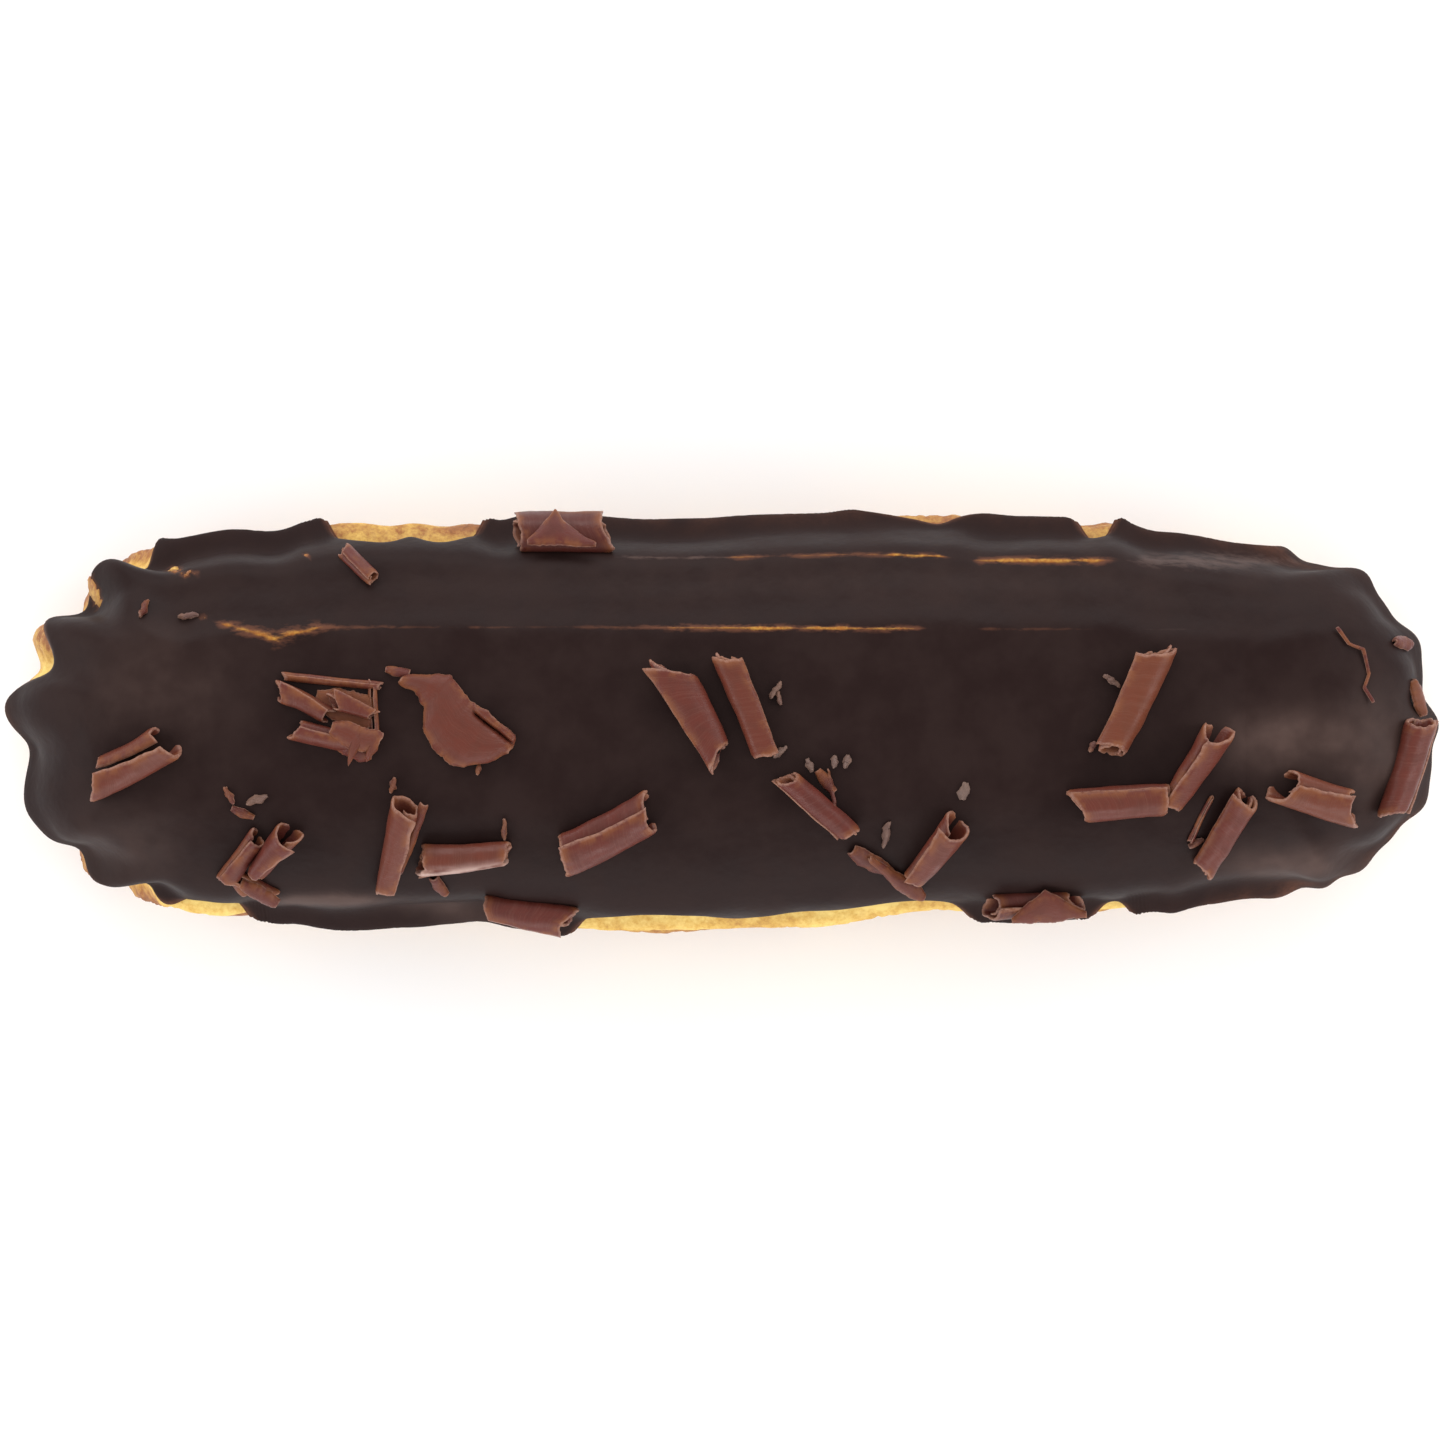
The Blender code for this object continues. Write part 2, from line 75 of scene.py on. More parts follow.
NOZZLE_TEETH = 14
RIDGE_HEIGHT = 0.95 * MM
START_RIDGE_HEIGHT = 1.25 * MM
FINISH_RIDGE_HEIGHT = 0.55 * MM
RIDGE_CHANGE_LENGTH = 14.0 * MM
START_SPLAY = (4.0, -7.0)
START_SPLAY_ANGLES = (5.0, 43.0)
UNEVENNESS = 0.16 * MM
# Waves that make the ridges uneven: radians for each mm along the body and each degree round it, and a shift
UNEVEN_WAVES = ((0.31, 0.09, 0.0), (0.17, -0.13, 2.0))

# Small swellings (+) and hollows (-) of the plan outline: x, y, reach, change, in mm
OUTLINE_CHANGES = (
    (-68.2, 3, 2, 0.8), (-66.5, 8.5, 2.2, 0.1), (-61.7, 12.6, 2.4, -1), (-59.3, 15.6, 1.6, 0.8),
    (-54.1, 17.8, 3, -1), (-46.9, 18.8, 0.9, -0.8), (-41, 19.4, 4, -0.5), (-44.2, 19.3, 1.2, -0.4),
    (-21.5, 19.7, 2, -0.8), (-24, 19.5, 1.6, 0.5), (4, 19.8, 14, -0.5), (28.5, 19.3, 5.5, -0.9),
    (17.5, 19.8, 5, 0.4), (-42.5, 19.2, 2, -0.4), (52.7, 17.5, 6, -1), (68.4, 5.8, 2.4, 1),
    (69.6, 1.5, 2, -0.5), (69.1, -5.9, 2.4, 0.9), (65.8, -11.4, 2.4, 1.3), (62.2, -15.5, 2.6, -0.4),
    (64.8, 12.4, 2.6, 0.5), (69, -6, 5, 0.9), (66.2, -12, 1.6, 0.4), (69.8, 5, 2, 0.5),
    (-65, -12.6, 2.2, 1), (-69, 4.5, 1.8, 0.9), (-60, 14.5, 2.4, 0.4), (-50, 18.6, 2.6, 0.6),
    (-50, -18.6, 5, 0.4), (59, -16.4, 1.8, 0.9), (63, -14.8, 1.2, -0.5), (64.6, -13.2, 1.6, 0.8),
    (56, 16.4, 2.6, -0.5), (51.7, -17.6, 7, -1.3), (21, -19.4, 5, -0.3), (-2, -20, 10, 0.4),
    (-29, -18.8, 2, 0.2), (-23, -19.3, 2, -0.5), (-43.5, -19.4, 2, 0.3), (-43.7, -19.8, 1.6, 0.9),
    (-49.5, -18.2, 3, 0.5), (-54.6, -17.6, 1.6, -0.6), (-61.9, -15, 2.2, 0.2), (-66.3, -10.6, 2.4, -0.9),
    (-67.7, -4, 3, 0.4), (-59.5, 16.2, 1.6, 0.5), (-66.2, -12.8, 1.4, 0.5), (-67.8, 4.2, 1.2, 0.6),
    (-41, 19.3, 1.6, 0.4), (-44.4, 19.3, 1.2, -0.3), (-29.5, 19.2, 1.6, 0.4), (23, 19.8, 1.4, 0.4),
    (38.5, 19, 1.6, 0.4), (61, 16, 1.8, 0.5), (63.6, 14, 1.8, 0.5), (44.2, -18.6, 1.4, 0.5),
    (59.2, -16.8, 1.4, 0.4), (-67.5, -9, 1.4, 0.5), (-69.3, -1, 1.2, 0.5), (-67.2, 10.2, 1, 0.6),
    (67.3, 9.8, 1.4, 0.4), (68.3, -9.8, 2, 0.4),
)

# The choux crust: heights of its lumps, wrinkles, pores and cracks, and their sizes
LUMP = (0.10 * MM, 7.0 * MM)
WRINKLE = (0.18 * MM, 1.1 * MM)
WRINKLE_STRETCH = 5.0
PORE = (0.10 * MM, 1.5 * MM)
PORE_EDGES = (0.05, 0.35)
CRACK_DEPTH, CRACK_CELL = 0.20 * MM, 2.6 * MM
CRACK_WIDTH = 0.12
CRACK_WARP = (0.4 * MM, 1.8 * MM)
CRACK_PATCH, CRACK_PATCH_LEVELS = 6.0 * MM, (-0.1, 0.3)
CRACK_PATCH_SHIFT = 50.0 * MM
CRUST_FADE_ANGLE = 118.0
COVERED_CRUST = (-2.0, 5.0)
BASE_BUMP = (0.12 * MM, 4.0 * MM)

# How dark the choux is, from 0 pale to 1 dark: toward -Y and +Y near the icing, where paler toward -Y and
# darker toward +Y is painted light and shade; as baked on the flank and on the base; and the drop angles
# between which it changes
PAINTED_SIDE_LIGHT_TONES = (-0.22, 0.15)
SIDE_REACH = 15.0 * MM
FLANK_TONE = 0.23
FLANK_ANGLES = (79.0, 93.0)
BASE_TONE = 0.32
BASE_TONE_ANGLE = 112.0
BASE_CREST = 0.2

# The icing
GAP = 0.3 * MM
TOP_THICKNESS = 0.8 * MM
SIDE_THICKNESS = 0.5 * MM
RIM_ANGLE = 84.0
THINNING_ANGLES = (40.0, 75.0)
BEAD_THICKNESS = 0.2 * MM
BEAD_ANGLES = (16.0, 3.0)
POOL_FILL = 0.92
FLUTE_FILL = 0.72
FLUTE_ANGLES = (16.0, 30.0)
# The drop angles between which the pool runs out, along the body and where piping started
POOL_END = 55.0
POOL_END_AT_START = 25.0
POOL_LIMIT = 80.0
STEEP_ANGLES = (60.0, 80.0)
RIM_WIDTH = 1.1 * MM
RIM_SEARCH = 1.6 * RIM_WIDTH
SHARP_RIM = 0.01 * MM
INNER_DEPTH = 1.9 * MM
RIM_WANDER = ((2.6, 4.5 * MM), (0.8, 1.6 * MM))
RIM_SMOOTHING = 12
# The share of a drip that is left below the widest line
DRIP_SHARE = 0.55
ICING_SWELL = ((0.07 * MM, 9.0 * MM), (0.015 * MM, 1.8 * MM))

# Where the icing runs down the side (+) or stops short (-): x, y and reach in mm, change in degrees
RIM_RUNS = (
    (-67.5, 7, 3.4, -26), (-69.4, 1.2, 1.4, -9), (-58.5, 16, 2.6, -14), (-49, 18, 5.5, 12),
    (-41.2, 19, 2.4, 8), (-34.8, 19, 3.6, -19), (-30.3, 19, 2.8, -12), (-25.9, 19, 3.2, -19),
    (-21.4, 19.5, 1.6, 10), (-13, 20, 7.5, 12), (4, 20, 6, 20), (20, 19.7, 6.5, -10.6), (30, 19, 3, 2),
    (36.8, 19, 2, -16), (45, 18.5, 5, 16), (58, 16, 6, 8), (68, 6, 5, 16), (69, -6, 5, 10), (60, -15, 6, 6),
    (44.5, -18.3, 3.2, 20), (38.2, -18.5, 2.8, -11), (30.5, -19, 4.5, 16), (20.5, -19.5, 5, -13),
    (10, -20, 8, -18), (-6, -20, 8, -22), (-18.5, -20, 3.6, 4), (-28, -19.5, 4.2, 17),
    (-34.5, -19, 2.6, 30), (-40.5, -19, 3.6, 20), (-49.5, -18, 4, -15), (-58.2, -16.2, 2.4, -11),
)
RIM_SHARPNESS = 3.2
RIM_BURIED = 0.4 * MM

# How narrow the crests are, along the body and where piping started
CREST_SHARPNESS = (1.9, 1.0)

# Crests that wear through the icing. For each: the line it follows as x and y, its half width in mm at
# places along x, and along x how far the icing is thin, worn to bare choux, and painted with a pale
# highlight, from 0 to 1
CREST_LINES = (
    (
        ((-50, 9.8), (-48.9, 9.5), (-45.5, 8.6), (-43.3, 7.9), (-41, 8.5), (-38.9, 9), (-16, 9),
         (38, 8.8)),
        ((-49, 0.35), (-46, 0.5), (-43, 0.65), (-40.5, 0.5), (-37, 0.24), (40, 0.24)),
        ((-49.8, 0), (-48.5, 1), (-38, 1), (-35, 0.6), (-28, 0.45), (-16, 0.4), (-8, 0.7), (-4, 1),
         (19, 1), (20.5, 0), (23.5, 0), (26, 0.5), (35, 0.4), (38, 0)),
        ((-48.8, 0), (-47.8, 0.9), (-45.5, 0.6), (-44, 1), (-39.5, 0.8), (-38, 0), (-7, 0), (-4.5, 0.5),
         (2.6, 0.45), (3.4, 1), (6.2, 1), (7.2, 0.5), (8.4, 1), (18, 0.95), (19.4, 0)),
        ((-30, 0), (-20, 0.25), (-8, 0.2), (-4, 0), (36, 0), (44, 0.3), (56, 0)),
    ),
    (
        ((-12, 15.8), (1, 15.8), (13.5, 16.1), (21.5, 15.9), (24.7, 15.5), (37, 15.5), (60, 15.4)),
        ((-10, 0.4), (0, 0.22), (24, 0.25), (30, 0.3), (39, 0.3), (42, 1.2), (60, 1.2)),
        ((0, 0), (1.5, 0.8), (21.5, 0.8), (22.8, 0), (24, 0), (25.2, 1), (37, 1), (39.5, 0)),
        ((0.4, 0), (2, 0.45), (13, 0.4), (16.2, 0.35), (17, 0.8), (21.2, 0.8), (22.2, 0), (24.4, 0),
         (26.5, 1), (36.2, 1), (37.8, 0)),
        ((-11.5, 0), (-9.5, 0.6), (-4, 0.6), (-2.6, 1), (-1.4, 0.6), (2, 0.3), (3, 0), (37.5, 0),
         (41, 0.7), (48, 0.8), (56, 0.55), (59, 0)),
    ),
)
CREST_LINE_REACH = (-70.0, 70.0)
# How far the thin and bare marks and the painted highlight reach to each side, in half widths
LINE_SPREADS = (2.0, 0.85, 1.3)

# Spots where the choux shows through: x, y, reach along X, reach along Y, in mm
BARE_SPOTS = (
    (-60.5, 11.9, 0.45, 0.75),
    (-53.1, 13.8, 0.65, 0.6),
    (-51.8, 12.8, 0.9, 0.3),
    (-50.2, 9.4, 0.45, 0.2),
    (-40.2, 14.6, 0.4, 0.15),
)
SPOT_WARP = (0.5 * MM, 0.6 * MM)
SPOT_WARP_SHIFT = 30.0 * MM
NO_SPOT = -4.0
BARE_RISE = 0.16 * MM
BARE_DIP = 0.12 * MM
# The range of bare_field in which the choux lifts, the icing dips and thins, and the choux looks bare
LIFT_LEVELS = (-1.5, 0.0)
DIP_LEVELS = (-0.8, 0.4)
THIN_LEVELS = (-1.4, 0.3)
BARE_LEVELS = (0.0, 0.9)
LEAST_MARKED = 0.3

# Painted highlights and reflections on the icing, as paler patches: x, y, reach along X,
# reach along Y in mm, strength
PAINTED_HIGHLIGHTS = (
    (54.5, -2, 5.5, 2.6, 1.1),
    (55.5, -13, 5.5, 1.6, 1.1),
    (-54, 3, 6, 5, 0.4),
    (-57, -11, 4.5, 2.8, 0.45),
    (-38.5, -16.25, 4.8, 0.6, 1.9),
    (-26.5, -17.5, 3.5, 0.45, 1.1),
    (63, -3, 4, 5, 0.8),
    (20, 12.5, 40, 2, 0.15),
)

# Where the icing is thin in a band along the widest line: x, y, reach in mm, strength. The band's drop angle
# and its width follow
EDGE_TINTS = (
    (10, 20, 22, 0.7),
    (50, 17, 9, 0.9),
    (53, -17.5, 8, 1),
    (66, -12, 5, 0.6),
    (-69.5, 0.5, 2, 0.9),
)
TINT_BAND = (82.0, 7.0)
THIN_RIM = (0.25, 1.0)
# Sizes of the patches that break up the painted highlights and the tint
PAINTED_HIGHLIGHT_PATCH = 2.4 * MM
TINT_PATCH = 3.0 * MM

# The surface grid
COLUMN_SPACING = 0.36 * MM
END_COLUMNS = 148
ARC_SAMPLES = 261
CHOUX_ROWS = 92
BASE_ROWS = 9
ICING_ROWS = 66
RIM_ROWS = 9
INNER_ROWS = 9

# The sheet of chocolate that the curls are shaved from
SHEET = 0.42 * MM
SHEET_UNEVENNESS = (0.2, 1.5 * MM)
SHEET_WARP = (0.09 * MM, 3.2 * MM)
WARP_SHIFTS = (0.0, 0.3, 0.7)
# Where curls, shards and crumbs take their noise from, in mm: steps in X and Y from one to the next, height
ROLL_NOISE, PLATE_NOISE, CRUMB_NOISE = (7.3, 3.1, 0.0), (5.7, 2.9, 4.0), (4.1, 6.3, 8.0)


@dataclass
class Roll:
    """A rolled shaving, in mm and degrees. Pairs are for its start and its far end. far is the radius at the
    far end as a share, turns how often the sheet goes round, and flat its height as a share of its width."""

    x: float
    y: float
    heading: float
    length: float
    radius: float
    far: float = 1.0
    seam: float = 60.0
    turns: float = 1.15
    twist: float = 0.0
    flat: float = 0.9
    lift: tuple = (0.1, 0.1)
    slant: tuple = (0.0, 0.0)
    cut: tuple = (0.0, 0.4)
    tint: float = 0.3
    above: float = 0.0
    # How strong the painted sheen along its lower side is
    painted_sheen: float = 0.0


ROLLS = (
    Roll(-56.85, -3.85, 28, 8.3, 2.1, 1, 84, 0.96, 22, 0.8, (0, 0.45), (-1.3, -0.7), (0, 0.8), 0.5),
    Roll(-46.5, -13.2, 60, 6.2, 1.25, 0.9, 60, 1, 20, 0.9, (0.1, 0.3), (0, 0.4), (0.3, 0.3), 0),
    Roll(-43.2, -12.5, 54, 6.2, 1.1, 1.7, 110, -1.05, 10, 0.9, (0, 0.5), (0, -0.3), (0, 1), 0.1),
    Roll(-45.6, -15.6, -38, 5.2, 0.85, 1.2, 95, 0.85, 20, 0.8, (0.2, 0.2), (0.4, 0.4), (0.3, 0.3), 0.3),
    Roll(-46.9, -15.6, -70, 3.2, 0.7, 1, 70, 0.9, 0, 0.8, (0.2, 0.2), (0.2, 0.2), (0, 0), 0.6),
    Roll(-31.4, -12.1, 79, 10, 1.2, 1.6, 118, -1.1, -26, 0.85, (0, 0.7), (0.3, 0.5), (0.3, 0.6), 0.5),
    Roll(-24.8, -13, 8, 8.8, 1.85, 0.7, 200, 1.6, 8, 0.9, (0.3, 0.1), (-0.4, 0.2), (0.5, 0.2), 0.5, 0, 0.7),
    Roll(-10.9, -10.85, 30, 9.8, 2.3, 1, 66, 1.1, 6, 0.7, (0.35, 0), (-0.6, 0.5), (0, 0.5), 0.2),
    Roll(-2.3, 0.6, -62, 9.9, 2, 0.86, 150, -1.2, 0, 0.8, (0.5, 0), (-1.6, -1), (0.2, 0.5), 0.3),
    Roll(2.6, 1.3, -68, 10.4, 1.55, 0.9, 35, 1.5, 10, 0.95, (0.1, 0.2), (-0.6, 0.3), (0.3, 0), 0.5),
    Roll(9.4, -8.2, -42.5, 8.4, 1.38, 1, 200, 1.5, 0, 0.95, (0, 0.1), (-0.5, 0.3), (0.5, 0.1), 0.1),
    Roll(20.9, -12.3, 60, 8, 1.3, 1.5, 52, 1.1, -6, 0.9, (0.2, 0.5), (0, 0.3), (0, 1.3), 0.4),
    Roll(40.2, 1.6, 64, 11, 1.65, 1.1, 25, 1.5, 8, 0.9, (0.1, 0.3), (0.3, -0.9), (0.9, 0.4), 0.8),
    Roll(38.9, -7.7, 3.5, 8.9, 1.95, 0.92, 40, 1.6, 6, 0.88, (0, 0.1), (0.9, 0.3), (0.1, 0.2), 0.4),
    Roll(45.9, -4.5, 58, 9.2, 1.3, 1.5, 70, 1, 16, 0.85, (0.3, 0.5), (0.3, -0.4), (0, 1.5), 0.4),
    Roll(48.8, -10.6, 67, 9, 1.5, 1.12, 20, 1.5, 10, 0.9, (0, 0.2), (-0.4, 0.3), (0.2, 0.7), 0.3),
    Roll(46.6, -9.6, 69.5, 5, 0.38, 0.8, 90, 1, 0, 0.9, (0, 0), (0, 0), (0, 0), -0.3),
    Roll(57.9, -7.25, -21, 8.2, 2.05, 1, 64, 1.1, -8, 0.8, (0.1, 0.6), (-0.8, -0.9), (1.2, 0.9), 0.7),
    Roll(66.1, -4.5, 65, 9.5, 1.8, 1.05, 160, 1.3, 10, 0.85, (0.1, 0.1), (0.7, -0.6), (0.3, 0.3), 0.3),
    Roll(-15.2, 17, -3, 9.2, 2.1, 1, 40, 1.2, 8, 0.85, (0.2, 0.3), (0.4, -0.4), (0.2, 0.9), -0.8),
    Roll(-18.2, -18.1, -3, 8.4, 1.6, 1, 110, -1.1, 20, 0.75, (0.2, 0.6), (0.5, 0.3), (0, 1), 0.1),
    Roll(30.4, -17.1, 2, 8.8, 1.75, 0.9, 60, 1.2, 0, 0.75, (0.3, 0.1), (-0.6, -0.8), (0.9, 0.2), -0.7),
    Roll(-35.2, 14.9, -54, 4.8, 1, 1, 120, -1.1, 10, 0.7, (0.2, 0.1), (0.4, -0.2), (0.3, 0.3), 0.1),
    Roll(-37.7, 3.8, -6, 9.6, 0.5, 1, 80, 1.1, 10, 0.9, (0.1, 0.1), (0.2, 0.2), (0.2, 0.2), 0.5),
    Roll(-40.3, 1.8, -27, 5.8, 1.15, 0.9, 62, 1.05, 10, 0.9, (0.4, 0.1), (0.6, 0.2), (0.4, 0.3), 0.3),
    Roll(-35.6, 1.2, -18, 4.6, 0.95, 0.8, 40, 1.1, 10, 0.8, (0.5, 0.1), (0.5, 0.3), (0.6, 0.2), 0.3, 0.6),
    Roll(-33.6, 0.6, 94, 6.2, 0.5, 1, 100, 0.9, 10, 0.8, (0.1, 0.1), (0.2, 0.2), (0.2, 0.2), 0.3),
    Roll(-37.9, -1.6, -12, 6.6, 1.3, 0.85, 75, 1.2, 10, 0.85, (0.1, 0.3), (-0.4, 0.2), (0.2, 0.5), 0.3),
)
ROLL_AROUND = 48
ROLL_ALONG = 30
ROLL_PITCH = 1.15
ROLL_SQUARENESS = 2.5
ROLL_BEND = 0.12
ROLL_SINK = 0.32
LIFT_DECAY = 0.09
SEAM_WANDER = (4.0, 1.6 * MM)
THICKEST_SHARE = 0.3
END_NOISE_SHIFTS = (9.0 * MM, 23.0 * MM)
# The band of painted sheen on a roll: its middle and width as shares of the roll's half width, and its
# patches' size
SHEEN_BAND = (-0.3, 0.3)
SHEEN_PATCH = 0.7 * MM
SHEEN_STRETCH = (0.35, 1.0, 1.0)
END_RAGGEDNESS = ((0.30 * MM, 2.2 * MM), (0.13 * MM, 0.6 * MM), (0.06 * MM, 0.25 * MM))
EDGE_WIDTH = 0.3 * MM
EDGE_THINNING = 0.6
PALE_EDGE_WIDTH = 0.5 * EDGE_WIDTH
THIN_EDGE_WIDTH = 4.0 * EDGE_WIDTH


@dataclass
class Plate:
    """A flat shard, in mm and degrees. Its outline is given as places along its heading with the reach to
    the right and the left, tip turns it about its heading, and fold is a folded lip's y, start and end."""

    x: float
    y: float
    heading: float
    outline: tuple
    rise: float = 0.4
    tint: float = 0.3
    above: float = 0.0
    tip: float = 0.0
    fold: tuple = None


KITE_OUTLINE = (
    (0, -0.3, 0.3), (0.5, -0.4, 1), (1.6, -0.3, 1.9), (2.6, -0.4, 2.7), (3.5, -0.7, 3.3), (4.7, -2.4, 2.9),
    (5.8, -3, 2.6), (6.4, -3.4, 2.7), (7.5, -3.5, 2.95), (9.9, -2.9, 2.9), (11.4, -0.9, 2.9),
    (12.1, 0.2, 2.8), (12.6, 1, 1.6),
)
PLATES = (
    Plate(-30.9, 3.9, -39, KITE_OUTLINE, 0.9, 0.45, fold=(1.95, 7, 11.9)),
    Plate(-39.2, 2.4, -8, ((0, -1, 0.6), (2.5, -2.4, 0.9), (5, -3, 0.8), (5.8, -2, 0.4)), 0.1, 1),
    Plate(-37.6, -0.6, -20, (
        (0, -0.6, 0.5), (1.2, -1.2, 0.9), (2.4, -1.3, 1), (2.8, -3.1, 0.9), (3.1, -1.3, 0.9),
        (4.2, -1.1, 1.1), (4.5, -2.1, 1.2), (4.9, -0.6, 1.1),
    ), 0.5, 0.5, 1.1),
    Plate(-46.2, -14.6, -44, (
        (0, -0.4, 0.5), (1.5, -1, 0.9), (3, -1.1, 0.8), (4.2, -0.6, 0.4),
    ), 0.6, 0.1, 0.5),
    Plate(-28.7, -7.4, -107, (
        (0, -0.4, 0.3), (3, -0.5, 0.4), (6, -0.4, 0.3), (7.8, -0.2, 0.2),
    ), 0.4, 0.4, 0.7),
    Plate(28.2, -17.4, 0, (
        (0, -0.9, -0.5), (1.6, -1.1, 0.9), (3.3, -1.1, 2.4), (5.2, -1, 0.9), (7.2, -0.8, -0.3),
    ), 0.3, 0.4, 2.3, -35),
    Plate(-37.6, -1.9, -22, ((0, -0.3, 0.3), (1.5, -0.9, 0.9), (3.2, -1, 0.9), (4.2, -0.3, 0.5)), 0.8, 0.1),
    Plate(12.9, -12, -48, (
        (0, -0.5, 0.6), (1.6, -0.8, 1.1), (3, -0.5, 1.3), (4.4, 0.1, 1.1), (5.6, 0.3, 0.8),
    ), 0.5, -0.9),
    Plate(14.9, -12.3, -52, (
        (0, -0.15, 0.15), (2, -0.4, 0.4), (4.5, -0.9, 0.6), (6.6, -0.9, 0.7), (7.6, -0.3, 0.4),
    ), 0.6, 0.1, 0.3),
    Plate(59.7, 8.9, -62, (
        (0, -0.1, 0.1), (1.9, 0.25, 0.48), (3.1, 1.4, 1.65), (5.4, 0.75, 1), (6.4, -0.38, -0.12),
        (8.1, -0.22, 0),
    ), 0.15, -0.3),
    Plate(64.6, 6.6, 22, ((0, -0.2, 0.2), (1, -0.5, 0.7), (2.4, -0.6, 0.9), (3.2, -0.2, 0.4)), 0.5, 0.1),
    Plate(66.4, 3.5, -47, ((0, -0.2, 0.3), (1.1, -0.7, 1.5), (2.6, -0.8, 1.4), (3.8, -0.2, 0.5)), 0.6, 1),
    Plate(-18.6, 16.6, -7, (
        (0, -0.3, 0.1), (1.3, -0.4, 1.6), (2.6, -0.4, 3.6), (3.2, -0.4, 2.6), (5, -0.3, 1.2),
        (6.7, -0.2, 0.1),
    ), 0.3, 0, 2, 32),
    Plate(-32.4, 4.9, -12, ((0, -0.2, 0.2), (0.8, -0.5, 0.4), (2.4, -0.4, 0.4)), 0.4, -0.2),
    Plate(-27.6, -14.6, -75, ((0, -0.5, 0.4), (1.4, -0.6, 0.5), (2.7, -0.3, 0.4)), 0.4, 0),
    Plate(9.4, -4.8, -52, ((0, -0.3, 0.3), (1.2, -0.6, 0.6), (2.8, -0.4, 0.3)), 0.4, -0.9),
    Plate(-47.4, -8.4, -25, ((0, -0.3, 0.2), (1.2, -0.5, 0.4), (2.4, -0.2, 0.2)), 0.3, -0.9),
    Plate(68.9, -2.2, -112, (
        (0, -0.3, 0.3), (2, -0.6, 0.7), (4, -0.7, 0.8), (6.6, -0.2, 0.3),
    ), 0.5, 0.8, -0.8),
)
PLATE_ALONG = 64
PLATE_ACROSS = 40
PLATE_THICKNESS = 0.8
FOLD_DEPTH = 0.75 * MM
FOLD_WIDTH = 0.28 * MM
FOLD_LIP = 0.5 * MM
FULL_RAGGEDNESS = 2.5 * MM
SIDE_NOISE_SHIFTS = (5.0 * MM, 6.0 * MM)
PLATE_FOOTING = 1.5 * MM
PLATE_RAISE = 0.1

# Crumbs of broken chocolate: x, y, heading, length and width, in mm and degrees, and how pale they are:
# above 0 a painted highlight, below 0 a deeper tint
CRUMBS = (
    (-47.6, -7.3, -60, 1.8, 0.6, 0.1), (-44.9, -7.7, 20, 2.2, 1, 0.6), (5.4, 2.9, 60, 2, 0.6, 0.6),
    (5.7, 2.2, 100, 1.4, 0.5, 0.5), (5.8, -3.1, 35, 1.7, 0.7, 0.7), (8.7, -4.4, -70, 1.4, 0.8, 0.7),
    (11.1, -4, 80, 1.2, 0.7, 0.7), (12.3, -4, 70, 1.3, 0.8, 0.7), (10.8, -6.6, 100, 3.8, 0.4, 0.1),
    (16.1, -11, 80, 2.6, 1, 0.6), (23.7, -6.9, 75, 1.7, 1.2, 0.8), (38, 3.8, -35, 1.9, 0.6, 0.6),
    (36.1, -2.6, 50, 1.1, 0.6, 0.3), (-55.9, 10.8, 72, 2.2, 0.8, -0.4), (-51.6, 10, 8, 1.9, 0.5, 0.5),
    (-23.4, -4.7, 75, 1, 0.4, 0.1), (-31.7, -6.3, 75, 1.5, 0.7, 0.1), (-20.9, -10.4, 88, 2, 0.4, 0.2),
    (46.2, -11.8, 20, 1.6, 0.7, 0.2),
)
CRUMB_STEPS = 14
CRUMB_RISE = 0.45 * MM
CRUMB_THICKNESS = 0.7
CRUMB_RAISE = 0.08 * MM
CRUMB_WARP = (0.16 * MM, 0.5 * MM)

# Where a piece feels for the icing under it, as shares of its length and width
FOOTING_ALONG = (-0.4, -0.2, 0.0, 0.2, 0.4)
FOOTING_ACROSS = (-0.8, 0.0, 0.8)
FOOTING_SHARE = 0.6

# Colours and gloss, as the shader takes them
DARK_GLOSS = 0.08
MILK_GLOSS = 0.22
DARK_CHOCOLATE = (0.0150, 0.0068, 0.0062)
# The pale icing colour serves both the faint mottle and the painted highlights and reflections
MOTTLE_AND_HIGHLIGHT_CHOCOLATE = (0.076, 0.047, 0.040)
THIN_CHOCOLATE = (0.11, 0.042, 0.024)
MILK_CHOCOLATE = (0.104, 0.0225, 0.0162)
WARM_MILK_CHOCOLATE = (0.20, 0.064, 0.022)
PALE_MILK_CHOCOLATE = (0.31, 0.165, 0.12)
DEEP_MILK_CHOCOLATE = (0.075, 0.018, 0.013)
# Painted highlights: the pale grey of the crumbs and the sheen of the rolls
PAINTED_CRUMB_HIGHLIGHT = (0.16, 0.115, 0.096)
PAINTED_SHEEN = (0.52, 0.36, 0.31)
PALE_CRUST = (0.78, 0.56, 0.155)
GOLDEN_CRUST = (0.60, 0.35, 0.066)
BROWN_CRUST = (0.30, 0.108, 0.022)
DARK_CRUST = (0.13, 0.040, 0.012)
FLOOR_COLOUR = (0.97, 0.985, 1.0)
STREAK_SCALE = (3.0, 70.0, 40.0)

# The stage
VIEW_WIDTH = 0.1405
CAMERA_DISTANCE = 3.0
SENSOR = 36.0
FLOOR_SIZE = 6.0
FLOOR_ROUGHNESS = 0.9
WORLD_COLOUR = (0.72, 0.72, 0.73)
# Soft boxes: azimuth and height above the horizon in degrees, distance, width and height in metres, watts
SOFT_BOXES = (
    (90, 24, 1.1, 1.8, 0.5, 9.5),
    (-90, 22, 1.1, 1.8, 0.4, 8.5),
    (180, 24, 1.1, 0.9, 0.5, 5),
    (0, 24, 1.1, 0.9, 0.5, 5),
)


